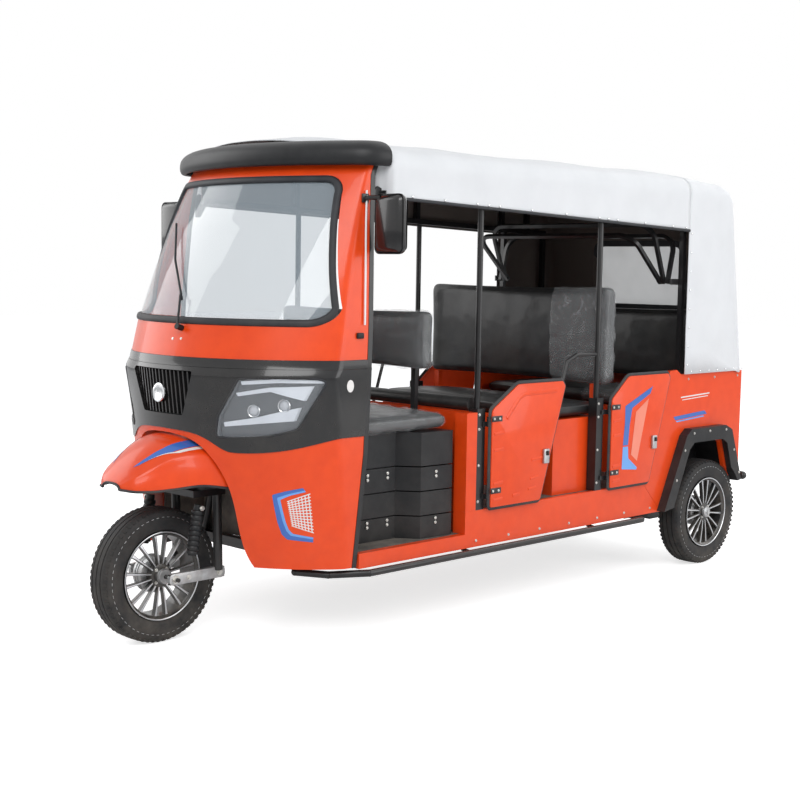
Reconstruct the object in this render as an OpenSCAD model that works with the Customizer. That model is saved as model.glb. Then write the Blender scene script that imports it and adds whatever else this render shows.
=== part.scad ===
/* [Overall] */
// Length from the front of the front tyre to the rear of the bumper tube
overall_l = 3500; // [3300:10:3800]
// Height of the crown of the canvas roof above the ground
overall_h = 1965; // [1900:5:2050]
// Distance between the front axle and the rear axle
wheelbase = 2870; // [2700:10:2950]
// Distance between the centre planes of the rear tyres
track = 1116; // [1080:2:1140]
// Width over the flat sides of the body
body_w = 1190; // [1160:2:1230]
// Sheet thickness of the body panels with their stiffeners
panel_t = 20; // [12:1:25]

/* [Wheels] */
// Outside diameter of every tyre
tyre_d = 520; // [500:2:540]
// Width of every tyre
tyre_w = 118; // [100:1:130]
// Outside diameter of the alloy rim where the tyre seats
rim_d = 343; // [330:1:356]
// Number of paired spokes in a rim
spoke_pairs = 8; // [6:1:10]
// Diameter of the wheel hubs
hub_d = 96; // [80:1:110]

/* [Cab] */
// Depth of the front panel behind the lamps
lamp_depth = 26; // [20:1:34]
// Height of the black belt strip under the windscreen panel
belt_z = 1092; // [1080:1:1100]
// Thickness of the windscreen glass
glass_t = 6; // [5:1:8]
// Number of slats in the grille
slat_count = 15; // [9:2:21]

/* [Fork] */
// Angle of the steering axis back from upright
rake = 18; // [12:1:24]
// Distance between the fork legs, centre to centre
leg_gap = 270; // [256:2:300]
// Diameter of the steering stem
stem_d = 40; // [34:1:44]

/* [Frame] */
// Diameter of the hood rails and upper posts
post_d = 25; // [20:1:30]
// Width of the square channel below each door post
channel_w = 48; // [40:1:56]
// Diameter of the step tube along each side
step_d = 28; // [24:1:36]
// Diameter of the rear bumper tube
bumper_d = 42; // [36:1:50]
// Height of the driver's floor
cab_floor_z = 360; // [350:1:370]
// Height of the passenger floor
rear_floor_z = 450; // [440:1:456]

/* [Doors] */
// Thickness of each door
door_t = 22; // [18:1:24]
// Diameter of the hinge barrels
barrel_d = 14; // [12:1:15]

/* [Canvas] */
// Thickness of the roof canvas with its lining
canvas_t = 12; // [8:1:14]

/* [Seats] */
// Width of the seat boxes
seat_w = 1084; // [1040:2:1088]
// Thickness of the seat cushions
cushion_t = 88; // [70:1:95]

/* [Hidden] */
$fn = 48;
gap = 0.3;
tyre_r = tyre_d / 2;
rim_r = rim_d / 2;
body_h = body_w / 2;
axle_z = tyre_r;
front_y = -overall_l / 2 + tyre_r;
rear_y = front_y + wheelbase;

// Places along the vehicle, measured back from the front axle
cab_rear = 540;
post_a = 1198;
post_b = 2000;
post_c = 2650;
door_1 = 1224;
door_2 = 2042;
body_tail = 3180;
quarter_front = 2450;

// A box from its lowest corner and its size, with y measured from the front axle
module block(x, y, z, size) {
  translate([x, front_y + y, z]) cube(size);
}

// The same block on both sides, x being the side nearer the middle
module pair_block(x, y, z, size) {
  block(x, y, z, size);
  block(-x - size[0], y, z, size);
}

// A round bar between two points
module bar(a, b, d) {
  v = b - a;
  len = norm(v);
  translate(a) rotate([0, acos(v[2] / len), atan2(v[1], v[0])]) cylinder(d = d, h = len);
}

// A bent round bar through points whose y is measured from the front axle
module bent_bar(points, d) {
  translate([0, front_y, 0]) {
    for (i = [0 : len(points) - 2]) bar(points[i], points[i + 1], d);
    for (i = [1 : 1 : len(points) - 2]) translate(points[i]) sphere(d = d + 1);
  }
}

module both_sides() {
  children();
  mirror([1, 0, 0]) children();
}

// A side-view outline of y and z points made into a plate between two x values
module side_plate(x0, x1, points) {
  translate([x0, front_y, 0]) rotate([90, 0, 90]) linear_extrude(x1 - x0) polygon(points);
}

// A front-view outline cut as a prism along the length, from y0 to y1
module front_prism(y0, y1) {
  translate([0, front_y + y1, 0]) rotate([90, 0, 0]) linear_extrude(y1 - y0) children();
}

// Loft of folded rings: the second half of each ring runs back beside the first, so the ends close in pairs
module loft(rings) {
  n = len(rings[0]);
  m = len(rings);
  top = (m - 1) * n;
  polyhedron(
    points = [for (r = rings) for (p = r) p],
    faces = concat(
      [for (j = [0 : n / 2 - 2]) [j, j + 1, n - 2 - j]],
      [for (j = [0 : n / 2 - 2]) [j, n - 2 - j, n - 1 - j]],
      [for (i = [0 : m - 2]) for (j = [0 : n - 1]) [i * n + j, (i + 1) * n + j, (i + 1) * n + (j + 1) % n]],
      [for (i = [0 : m - 2]) for (j = [0 : n - 1]) [i * n + j, (i + 1) * n + (j + 1) % n, i * n + (j + 1) % n]],
      [for (j = [0 : n / 2 - 2]) [top + n - 2 - j, top + j + 1, top + j]],
      [for (j = [0 : n / 2 - 2]) [top + n - 1 - j, top + n - 2 - j, top + j]]
    ),
    convexity = 6
  );
}

// Cab front, one row per level: height, front on the centre line, front radius, half width, corner radius, rear edge
cab_rows = [
  [308, 125, 680, 585, 80, 490],
  [560, 80, 680, 594, 80, 512],
  [740, 50, 680, 600, 80, 528],
  [1040, 15, 680, 603, 80, cab_rear],
  [1072, 32, 680, 603, 80, cab_rear],
  [1235, 75, 690, 601, 80, cab_rear + 6],
  [1420, 158, 740, 592, 60, cab_rear + 14],
  [1600, 250, 800, 580, 50, cab_rear + 24],
  [1790, 368, 900, 560, 30, cab_rear + 46],
  [1846, 402, 900, 552, 30, cab_rear + 76]
];
front_steps = 16;
corner_steps = 4;

// Linear reading of the cab table at any height
function row_at(z, i = 0) =
  (i >= len(cab_rows) - 2 || z <= cab_rows[i + 1][0])
    ? cab_rows[i] + (cab_rows[i + 1] - cab_rows[i]) * (z - cab_rows[i][0]) / (cab_rows[i + 1][0] - cab_rows[i][0])
    : row_at(z, i + 1);

// Plan curve of one level at an offset outwards, from the left rear edge round the front to the right one
function plan_curve(row, off, rear) =
  let (y0 = row[1], r = row[2], hw = row[3], rc = row[4])
  let (cy = y0 + r, cx = hw - rc)
  let (ky = cy - sqrt(pow(r - rc, 2) - cx * cx))
  let (turn = atan2(cy - ky, cx))
  concat(
    [[-(hw + off), rear]],
    [for (i = [0 : corner_steps]) let (a = 180 + turn * i / corner_steps) [-cx + (rc + off) * cos(a), ky + (rc + off) * sin(a)]],
    [for (i = [1 : front_steps - 1]) let (a = 180 + turn + (180 - 2 * turn) * i / front_steps) [(r + off) * cos(a), cy + (r + off) * sin(a)]],
    [for (i = [corner_steps : -1 : 0]) let (a = -turn * i / corner_steps) [cx + (rc + off) * cos(a), ky + (rc + off) * sin(a)]],
    [[hw + off, rear]]
  );

function lift(points, z) = [for (p = points) [p[0], front_y + p[1], z]];

function reversed(list) = [for (i = [len(list) - 1 : -1 : 0]) list[i]];

// Wall between two offsets from the cab surface over a range of the table's levels
last_row = len(cab_rows) - 1;
module cab_wall(outer, inner, first = 0, last = last_row) {
  loft([
    for (i = [first : last])
      let (row = cab_rows[i])
      concat(
        lift(plan_curve(row, outer, row[5]), row[0]),
        lift(reversed(plan_curve(row, inner, row[5])), row[0])
      )
  ]);
}

// Everything inside the cab surface, for trimming what meets it
module cab_core(outer, first, last) {
  loft([
    for (i = [first : last])
      let (row = cab_rows[i])
      let (curve = plan_curve(row, outer, row[5] + 400))
      concat(lift(curve, row[0]), [for (p = reversed(curve)) [p[0] * 0.5, front_y + row[5] + 401, row[0]]])
  ]);
}

// Outlines seen from the front
module round_rect(w, h, r) {
  square([w, h - 2 * r], center = true);
  square([w - 2 * r, h], center = true);
  for (sx = [-1, 1]) for (sy = [-1, 1]) translate([sx * (w / 2 - r), sy * (h / 2 - r)]) circle(r);
}

// Windscreen outline at an inset from the outer edge of the seal: narrower at the top
ws_bottom = 1222;
ws_top = 1786;
ws_low_x = 590;
ws_high_x = 508;
ws_corner = 72;
module ws_outline(inset) {
  r = ws_corner - inset;
  hull() for (s = [-1, 1]) {
    translate([s * (ws_low_x - ws_corner), ws_bottom + ws_corner]) circle(r, $fn = 24);
    translate([s * (ws_high_x - ws_corner), ws_top - ws_corner]) circle(r, $fn = 24);
  }
}

// Half outline of the black panel's lower edge, mirrored to both sides
panel_top = 1066;
panel_low = [[0, 824], [150, 820], [222, 800], [292, 756], [330, 750], [436, 755], [534, 778], [640, 832]];
module panel_outline() {
  polygon(concat(
    [for (p = panel_low) p],
    [[640, panel_top], [-640, panel_top]],
    reversed([for (p = panel_low) [-p[0], p[1]]])
  ));
}

lamp_points = [[364, 1030], [596, 1034], [518, 843], [440, 818], [262, 805], [278, 884]];
module lamp_outline(s, grow = 0) {
  mirror([s < 0 ? 1 : 0, 0]) offset(delta = grow) polygon(lamp_points);
}

// Opening for the front wheel and mudguard in the lower shell
arch_points = [[300, 200], [300, 590], [262, 690], [206, 762], [140, 796], [0, 808]];
module arch_outline(grow = 0) {
  offset(delta = grow) polygon(concat(arch_points, reversed([for (p = arch_points) [-p[0], p[1]]])));
}

wall = 18;

module cab_shell() {
  color("orangered") difference() {
    intersection() {
      cab_wall(0, -wall, 4);
      block(-700, -200, belt_z + 8, [1400, 1200, 900]);
    }
    front_prism(-100, 1000) ws_outline(0);
  }
}

module belt_strip() {
  color("black") intersection() {
    cab_wall(3, -wall, 3, 5);
    block(-700, -200, panel_top, [1400, 1200, belt_z + 8 - panel_top]);
  }
}

module front_panel() {
  color("black") {
    difference() {
      intersection() {
        cab_wall(4, -wall, 1, 4);
        front_prism(-100, 1000) panel_outline();
      }
      for (s = [-1, 1]) front_prism(-100, 1000) lamp_outline(s, gap);
      front_prism(-100, 400) polygon([[-190, 1050], [190, 1050], [120, 880], [-120, 880]]);
    }
    // Recessed grille behind the opening: a back plate and upright slats
    intersection() {
      cab_wall(-20 - gap, -50, 2, 4);
      front_prism(-100, 400) polygon([[-196, 1056], [196, 1056], [126, 874], [-126, 874]]);
    }
    intersection() {
      cab_wall(-4, -20, 2, 4);
      front_prism(-100, 400) polygon([[-189, 1049], [189, 1049], [120, 881], [-120, 881]]);
      union() for (i = [0 : slat_count - 1])
        block(-180 + i * 360 / (slat_count - 1) - 5, -100, 870, [10, 500, 200]);
    }
  }
}

module headlamps() {
  color("dimgray") for (s = [-1, 1]) difference() {
    intersection() {
      cab_wall(2, -lamp_depth, 2, 4);
      front_prism(-100, 1000) lamp_outline(s);
    }
    for (p = [[391, 911], [478, 932]])
      translate([s * p[0], front_y, p[1]]) rotate([90, 0, s * 32]) cylinder(d = 46, h = 600, center = true);
  }
}

module lower_shell() {
  color("orangered") difference() {
    intersection() {
      cab_wall(0, -wall, 0, 4);
      block(-700, -200, 308, [1400, 1200, panel_top - 308]);
    }
    front_prism(-100, 1000) panel_outline();
    front_prism(-200, 460) arch_outline();
  }
}

module windscreen() {
  color("lightsteelblue") intersection() {
    cab_wall(-4, -4 - glass_t, 4);
    front_prism(-100, 1000) ws_outline(26);
  }
}

module windscreen_seal() {
  color("black") difference() {
    intersection() {
      cab_wall(5, -wall, 4);
      front_prism(-100, 1000) ws_outline(gap);
    }
    intersection() {
      cab_wall(-4 + gap, -4 - glass_t - gap, 4);
      front_prism(-100, 1000) ws_outline(26 - gap);
    }
    front_prism(-100, 1000) ws_outline(36);
  }
}

module wiper() {
  color("black") translate([0, front_y, 0]) {
    bar([80.1, 70.3, 1205.3], [84, 42, 1213], 22);
    bar([84, 46, 1212], [40, 92, 1330], 9);
    bar([48, 93, 1312], [-100, 168, 1462], 9);
    translate([-100, 168, 1462]) sphere(d = 10);
    bar([-100, 168, 1462], [-242, 275, 1606], 9);
  }
}

// Visor sections, one row each: height, offset of the outer face, offset of the inner face
visor_rows = [
  [1824, 48, 34], [1846 + gap, 61, 34], [1847, 61, -14], [1880, 54, -16], [1904, 32, -22], [1918, 4, -28]
];
module visor() {
  row = row_at(1846) + [0, 0, 0, 0, 60, 30];
  color("black") loft([
    for (v = visor_rows)
      concat(lift(plan_curve(row, v[1], row[5]), v[0]), lift(reversed(plan_curve(row, v[2], row[5])), v[0]))
  ]);
}

// Mudguard sections, one row each: distance behind the axle, half width, crown height, lip height
guard_rows = [
  [-190, 62, 640, 612],
  [-160, 118, 682, 608],
  [-100, 150, 736, 607],
  [-20, 178, 786, 612],
  [60, 226, 802, 622],
  [150, 268, 803, 610],
  [200, 280, 803, 600]
];
guard_steps = 12;
guard_t = 9;

function guard_arch(row, inset) =
  [for (i = [0 : guard_steps])
    let (a = 180 - 180 * i / guard_steps)
    let (c = cos(a), s = sin(a))
    [sign(c) * pow(abs(c), 0.85) * (row[1] - inset), front_y + row[0],
     row[3] + pow(s, 0.8) * (row[2] - inset - row[3])]];

module mudguard() {
  color("orangered") difference() {
    loft([for (row = guard_rows) concat(guard_arch(row, 0), reversed(guard_arch(row, guard_t)))]);
    difference() {
      cab_wall(4 + gap, -wall - gap, 0, 4);
      front_prism(-200, 460) arch_outline(-gap);
    }
    steering_axis() cylinder(d = stem_d + 26, h = 400);
  }
}

module dash() {
  color("black") intersection() {
    cab_core(-wall - gap, 3, 5);
    union() {
      block(-560, 0, 1058, [1120, 250, 40]);
      block(-150, 120, 1090, [300, 90, 60]);
    }
  }
}

// Black post behind the shell's rear edge, following its lean
edge_w = 22;
module cab_edge() {
  color("black") for (s = [-1, 1]) loft([
    for (row = cab_rows)
      [for (c = [[2, gap], [2, edge_w], [-wall, edge_w], [-wall, gap]])
        [s * (row[3] + c[0]), front_y + row[5] + (s > 0 ? c[1] : edge_w + gap - c[1]), row[0]]]
  ]);
}

// Steering axis, from a point behind the wheel upwards
axis_y = 160;
axis_z = 600;
module steering_axis() {
  translate([0, front_y + axis_y, axis_z]) rotate([-rake, 0, 0]) children();
}

rail_z = 300;
rail_w = 40;
rail_x = 262;
side_start = 1112;
axle_d = 60;
leaf_t = 9;
leaf_top = axle_z - axle_d / 2 - gap;
hanger_1 = 2536;
hanger_2 = 3174;
cross_places = [420, 1120, 1960, 2500, 3100];
module frame() {
  color("black") difference() {
    union() {
      pair_block(rail_x, 420, rail_z, [rail_w, 2780, rail_w - gap]);
      for (y = cross_places) block(-rail_x - 1, y, rail_z, [2 * rail_x + 2, rail_w, rail_w - gap]);
      for (y = [1120, 1960]) pair_block(rail_x + 39, y, rail_z, [body_h - panel_t - gap - rail_x - 39, rail_w, rail_w - gap]);
      for (y = [hanger_1, hanger_2]) pair_block(rail_x, y, leaf_top + gap, [rail_w, 24, rail_z + 1 - leaf_top]);
      steering_axis() translate([0, 0, 8]) cylinder(d = stem_d + 18, h = 252);
      both_sides() bent_bar([[20, 235, 820], [150, 390, 560], [rail_x + 14, 440, 320]], 32);
      block(-150, 380, 550, [300, 20, 20]);
    }
    steering_axis() cylinder(d = stem_d + 2, h = 1200, center = true);
  }
}

well_x = 300;
module floors() {
  color("dimgray") {
    // Driver's floor, reaching forward on both sides of the wheel well
    block(-560, 466, cab_floor_z - 20, [1120, 706, 20]);
    both_sides() translate([0, front_y, cab_floor_z - 20]) linear_extrude(20)
      polygon([[well_x, 262], [400, 292], [478, 352], [543, 472], [560, 500], [560, 700], [well_x, 700]]);
    block(-well_x, 460, cab_floor_z - 20, [2 * well_x, 8, 470]);
    pair_block(well_x, 262, cab_floor_z - 20, [8, 206, 400]);
    // Passenger floor on blocks over the rails
    block(-570, 1174, rear_floor_z - 20, [1140, 1346, 20]);
    block(-424, 2519, rear_floor_z - 20, [848, body_tail - panel_t - gap - 2519, 20]);
    for (y = [1300, 1990, 2510, 3110]) pair_block(rail_x, y, rail_z + rail_w, [rail_w, 30, rear_floor_z - 19 - rail_z - rail_w]);
  }
}

module side_skirts() {
  color("orangered") both_sides() {
    side_plate(body_h - panel_t, body_h, [
      [side_start, 302], [quarter_front + 20, 302], [quarter_front + 20, 330], [2345, rear_floor_z + 4],
      [side_start, rear_floor_z + 4]
    ]);
    // Sill along the driver's floor
    block(562, 519, 302, [body_h - 562, side_start - gap - 519, cab_floor_z - 302]);
  }
}

housing_x = 428;
arch_inner = [[2552, 250], [2552, 330], [2668, 590], [2706, 622], [2960, 622], [3000, 600], [3062, 420], [3062, 250]];
arch_outer = [[2470, 308], [2640, 660], [2682, 690], [2985, 690], [3042, 664], [3142, 402]];

// Opening round a rear wheel, seen from the side: the arch and a circle clear of the tyre
module arch_cut(grow) {
  side_plate(0, 900, [for (p = arch_inner) [wheelbase + (p[0] - wheelbase) * (1 + grow / 200), p[1] + grow]]);
  translate([0, rear_y, axle_z]) rotate([0, 90, 0]) cylinder(r = tyre_r + 15 + grow, h = 900);
}

module rear_quarters() {
  color("orangered") both_sides() difference() {
    side_plate(body_h - panel_t, body_h, [
      [quarter_front + 21, 302], [2560, 302], [2560, 340], [3070, 420], [body_tail, 420], [body_tail, 955],
      [2636, 955], [2600, 978], [2545, 975], [2530, 955], [2362, 470], [2346, rear_floor_z + 5],
      [quarter_front + 21, 331]
    ]);
    arch_cut(0);
  }
}

module wheel_flares() {
  color("black") both_sides() {
    difference() {
      side_plate(body_h + gap, body_h + 45, arch_outer);
      arch_cut(0);
      side_plate(body_h - 1, body_h + 38, [
        [2530, 250], [2530, 336], [2650, 606], [2700, 642], [2966, 642], [3016, 612], [3084, 420], [3084, 250]
      ]);
    }
    // Inner wheel housing: an arch over the tyre and its wall towards the floor
    difference() {
      side_plate(housing_x, body_h - panel_t - gap, [
        [2520, rail_z + rail_w], [2646, 612], [2692, 650], [2974, 650], [3022, 622], [3142, 400], [3142, 380],
        [wheelbase, 380], [wheelbase, rail_z + rail_w]
      ]);
      intersection() {
        arch_cut(6);
        block(housing_x + 8, 2000, 0, [400, 1500, 900]);
      }
    }
  }
}

// Pad for a number plate on the tail
plate_w = 340;
plate_h = 200;
module tail_panel() {
  color("orangered") {
    difference() {
      block(-body_h + panel_t + gap, body_tail - panel_t, 420, [body_w - 2 * panel_t - 2 * gap, panel_t, 535]);
      block(-340, body_tail - 6, 500, [680, 20, 400]);
    }
    // Plain raised pad for a number plate
    block(-plate_w / 2, body_tail - 7, 600, [plate_w, 11, plate_h]);
  }
}

module tail_lamps() {
  color("firebrick") pair_block(440, body_tail + gap, 700, [110, 26, 190]);
}

bumper_y = overall_l - tyre_r - bumper_d / 2;
module bumper() {
  color("black") {
    bent_bar([[-600, bumper_y, 410], [600, bumper_y, 410]], bumper_d);
    both_sides() translate([600, front_y + bumper_y, 410]) sphere(d = bumper_d);
    pair_block(rail_x + 6, 3200 + gap, rail_z + 4, [28, 24, 104]);
  }
}

step_x = body_h + 16;
module step_tubes() {
  color("black") for (s = [-1, 1]) {
    bent_bar([
      [s * (rail_x + rail_w + gap), 436, 318], [s * (rail_x + rail_w + 30), 436, 318], [s * 420, 350, 286],
      [s * 520, 430, 280], [s * step_x, 560, 284], [s * step_x, 2330, 284]
    ], step_d);
    for (y = [1140, 1980]) bent_bar([[s * 556, y, rail_z - gap - 8], [s * step_x, y, 284]], 16);
  }
}

// Centre of the side rail under the canvas edge: height at a distance behind the front axle
eave_slope = 1.78;
function eave_z(y) = 1742 - y * tan(eave_slope);

post_x = body_h - channel_w / 2 - 2;
post_low = rear_floor_z + 4 + gap;
module door_posts() {
  color("black") both_sides() {
    for (y = [post_a, post_b]) {
      difference() {
        block(body_h - channel_w, y - channel_w / 2, post_low, [channel_w - gap, channel_w, 420]);
        block(body_h - channel_w - 1, y - channel_w / 2 + 4, post_low + 4, [channel_w - 4, channel_w - 8, 500]);
      }
      translate([post_x, front_y + y, post_low]) cylinder(d = post_d, h = eave_z(y) - post_d / 2 - gap - post_low - 1);
    }
    for (d = [[door_1, post_a], [door_2, post_b]]) for (z = [500, 800]) post_hinge(d[0], d[1], z);
    // Grab rod from the rear post down to the floor
    bent_bar([[post_x, post_b - 6, 1072], [post_x, 1850, 1074], [post_x, 1782, 1046], [post_x, 1668, 693],
              [post_x, 1584, rear_floor_z + 7 + gap]], 16);
  }
}

hinge_x = body_h + 6 + door_t / 2;
barrel_h = 20;
module post_hinge(y, post, z) {
  translate([hinge_x, front_y + y, z]) cylinder(d = barrel_d, h = barrel_h);
  block(body_h - gap - 2, post + 6, z, [8, y - post - 4, barrel_h]);
  block(body_h - gap - 2, y - 5, z, [hinge_x - body_h + 2, 5, barrel_h]);
}

// A square bar along the side rail's slope, from one distance behind the front axle to another
module sloping_rail(x, y0, y1) {
  translate([x - post_d / 2, front_y + y0, eave_z(y0) - post_d / 2]) rotate([-eave_slope, 0, 0])
    cube([post_d, (y1 - y0) / cos(eave_slope), post_d]);
}

// A hoop under the canvas, square in section, with its feet on the side rails
module roof_hoop(y, drop = 0) {
  translate([0, 0, -drop]) front_prism(y - post_d / 2, y + post_d / 2) difference() {
    roof_section(canvas_t + gap);
    roof_section(canvas_t + post_d);
    translate([-700, 0]) square([1400, eave_z(y) - 6]);
  }
}

cab_hoop = 668;
rear_upright = 2990;
hoop_places = [cab_hoop, post_a, post_b, post_c];
rear_hoop = 2858;
rear_hoop_drop = 20;

// Folding hood bows, one row each: tilt back from upright, length of the legs, distance in from the post
bow_rows = [[-48, 330, 74], [-22, 300, 52], [14, 235, 30]];
bow_d = 18;
bow_corner = 90;
pivot_back = post_c - 60;
pivot_up = 1400;
module hood_frame() {
  color("black") {
    both_sides() {
      sloping_rail(post_x, 640, rear_upright);
      for (y = [post_c - post_d / 2, rear_upright - post_d])
        block(post_x - post_d / 2 + 1, y + 1, 955 + gap, [post_d - 2, post_d - 2, eave_z(y) - 958]);
      // Bracket from the cab post up to the rail
      side_plate(post_x - 14, post_x - 6, [[604, 1650], [626, 1650], [668, 1716], [652, 1738], [620, 1750], [606, 1736]]);
      // Bow pivots
      translate([post_x - 98, front_y + pivot_back, pivot_up]) rotate([0, 90, 0]) cylinder(d = 12, h = 90);
      block(post_x - 16, pivot_back - 14, pivot_up - 14, [8, 62, 28]);
    }
    for (y = hoop_places) roof_hoop(y);
    roof_hoop(rear_hoop, rear_hoop_drop);
    for (b = bow_rows) translate([0, front_y + pivot_back, pivot_up]) rotate([90 - b[0], 0, 0])
      linear_extrude(bow_d, center = true) difference() {
        round_rect(2 * (post_x - b[2]), 2 * b[1], bow_corner);
        round_rect(2 * (post_x - b[2] - bow_d), 2 * (b[1] - bow_d), bow_corner - bow_d);
        translate([-700, -700]) square([1400, 700 - bow_d / 2]);
      }
  }
}

// Roof section seen from the front at an inset, with the ground at zero
roof_half = body_h + 17;
crown_r = 2300;
shoulder_r = 150;
module roof_section(inset) {
  intersection() {
    translate([0, overall_h - crown_r]) circle(crown_r - inset, $fn = 96);
    union() {
      translate([-roof_half + inset, 800]) square([2 * (roof_half - inset), 1000]);
      for (s = [-1, 1]) translate([s * (roof_half - shoulder_r), 1800]) circle(shoulder_r - inset);
      translate([-roof_half + shoulder_r, 1700]) square([2 * (roof_half - shoulder_r), 400]);
    }
  }
}

// Side section of the roof at an inset: the rear wall leans and rounds over into the roof
hood_front = 628;
hood_split = post_c - 6;
tail_r = 190;
module side_section(inset) {
  hull() {
    translate([2880, 1760]) circle(tail_r - inset, $fn = 32);
    translate([3160, 945]) circle(30 - inset, $fn = 32);
    translate([0, 915 + inset]) square([100, 1085]);
    translate([2500, 1990]) square([10, 10]);
  }
}

module hood_solid(inset) {
  intersection() {
    front_prism(0, 3400) roof_section(inset);
    translate([-900, front_y, 0]) rotate([90, 0, 90]) linear_extrude(1800) side_section(inset);
  }
}

module hood_wall() {
  difference() {
    hood_solid(0);
    hood_solid(canvas_t);
    block(-900, -100, 800, [1800, 3500, 155 + gap]);
  }
}

roof_drop = 7.5;
module canvas_roof() {
  color("white") {
    difference() {
      hood_wall();
      block(-900, -200, 800, [1800, hood_front + 200, 1300]);
      block(-900, hood_split, 800, [1800, 1000, 1300]);
      block(-900, 0, 1800, [1800, hood_front + 26, 400]);
      translate([-900, front_y, eave_z(0) - 918]) rotate([-eave_slope, 0, 0]) translate([0, -100, 0]) cube([1800, 3000, 900]);
    }
    // Front of the roof, dropping to the visor and ending along the cab's plan
    intersection() {
      block(-900, 0, 1700, [1800, hood_front + 26 - gap, 400]);
      translate([0, front_y + hood_front + 26, overall_h]) rotate([roof_drop, 0, 0]) translate([0, 40, -overall_h])
        rotate([90, 0, 0]) linear_extrude(440) difference() {
          roof_section(0);
          roof_section(canvas_t);
          translate([-800, 0]) square([1600, overall_h - 150]);
        }
      translate([0, front_y, 0]) linear_extrude(2200) polygon(plan_curve(row_at(1846) + [0, 0, 0, 0, 60, 30], -30, hood_front + 60));
    }
  }
}

module canvas_rear() {
  color("white") difference() {
    hood_wall();
    block(-900, -200, 800, [1800, hood_split + 200 + gap, 1300]);
    front_prism(2700, 3400) translate([0, 1428]) round_rect(540, 316, 50);
  }
}

module rear_window() {
  color("lightgray") intersection() {
    difference() {
      hood_solid(4);
      hood_solid(8);
    }
    front_prism(2800, 3400) translate([0, 1428]) round_rect(539, 315, 50);
  }
}

module mirrors() {
  color("black") for (s = [-1, 1]) {
    block(s * 576 - 4, cab_rear - 12, 1684, [8, 32, 34]);
    translate([0, front_y, 0]) bar([s * 576, cab_rear + 4, 1701], [s * 640, 562, 1702], 18);
    translate([s * 682, front_y + 568, 1605]) rotate([90, 0, 0]) linear_extrude(60, center = true) round_rect(150, 222, 28);
  }
}

box_front = 640;
box_rear = 1078;
box_h = 430;
module driver_box() {
  color("black") difference() {
    translate([0, front_y, cab_floor_z + gap]) linear_extrude(box_h) polygon([
      [-452, box_front], [452, box_front], [456, 842], [536, 908], [548, box_rear], [-548, box_rear],
      [-536, 908], [-456, 842]
    ]);
    block(-400, box_front + 30, cab_floor_z - 1, [800, box_rear - box_front - 60, 420]);
    for (z = [90, 190, 290]) difference() {
      block(-600, 600, cab_floor_z + z, [1200, 600, 5]);
      block(-440, 652, cab_floor_z + z - 1, [880, 410, 8]);
    }
  }
  // Legs of the driver's backrest
  color("black") pair_block(300, box_rear + 2 + gap, cab_floor_z + gap, [24, 20, 860]);
}

module driver_cushion() {
  color("black") block(-520, 606, cab_floor_z + box_h + 2 * gap, [1040, box_rear - 606, cushion_t]);
}

module driver_back() {
  color("black") block(-450, box_rear - 108, 1034, [900, 110, 236]);
}

module bulkhead() {
  color("orangered") {
    block(1 - body_h + channel_w, 1150, cab_floor_z + gap, [body_w - 2 * channel_w - 2, panel_t, 500]);
    both_sides() {
      block(body_h - channel_w - 20, side_start, cab_floor_z + gap, [channel_w - gap, post_a - channel_w / 2 - gap - side_start, 500]);
      block(body_h - panel_t - 1, side_start, post_low, [panel_t + 1, post_a - channel_w / 2 - gap - side_start, cab_floor_z + 500 - post_low]);
    }
  }
}

module bulkhead_rail() {
  color("black") bent_bar([
    [channel_w + gap - body_h, 1190, cab_floor_z + 500 + 2 * gap + 29],
    [body_h - channel_w - gap, 1190, cab_floor_z + 500 + 2 * gap + 29]
  ], 58);
}

row1_front = 1735;
row2_front = 2520;
module seat_boxes() {
  color("orangered") {
    difference() {
      block(-seat_w / 2, row1_front, rear_floor_z + gap, [seat_w, 315, 336]);
      block(-seat_w / 2 + panel_t, row1_front + panel_t, rear_floor_z - 1, [seat_w - 2 * panel_t, 315 - 2 * panel_t, 336 - panel_t]);
    }
    difference() {
      block(-420, row2_front, rear_floor_z + gap, [840, 400, 336]);
      block(-400, row2_front + panel_t, rear_floor_z - 1, [800, 360, 317]);
    }
  }
  // Legs of the passenger backrests
  color("black") {
    pair_block(480, 2068, rear_floor_z + gap, [30, 30, 930 - rear_floor_z - 2 * gap]);
    pair_block(380, 2975, rear_floor_z + gap, [30, 30, 900 - rear_floor_z - 2 * gap]);
  }
}

module row1_cushion() {
  color("black") block(-seat_w / 2, row1_front - 15, rear_floor_z + 336 + 2 * gap, [seat_w, 328, cushion_t]);
}

module row1_back() {
  color("black") block(-556, 2052, 930, [1112, 124, 440]);
}

module row2_cushion() {
  color("black") block(-seat_w / 2, row2_front - 15, rear_floor_z + 336 + 2 * gap, [seat_w, 430, cushion_t]);
}

module row2_back() {
  color("black") block(-seat_w / 2, 2940, 900, [seat_w, 100, 360]);
}

module power_unit() {
  color("gray") block(-200, 700, cab_floor_z + gap, [400, 330, 300]);
}

module rear_axle() {
  color("dimgray") translate([0, rear_y, axle_z]) {
    rotate([0, 90, 0]) cylinder(d = axle_d, h = track - 2 * tyre_w, center = true);
    rotate([0, 90, 0]) cylinder(d = 34, h = track + 64, center = true);
    rotate_extrude() intersection() {
      circle(d = 210);
      translate([0, -200]) square(400);
    }
  }
  // Leaf springs under the axle tube, hung from the rails
  color("black") {
    for (i = [0 : 3]) pair_block(rail_x - 5, hanger_1 + i * 75, leaf_top - (i + 1) * leaf_t, [50, hanger_2 + 24 - hanger_1 - i * 150, leaf_t]);
    pair_block(rail_x - 8, wheelbase - 45, leaf_top - 4 * leaf_t - 8, [56, 90, 8]);
  }
}

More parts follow.
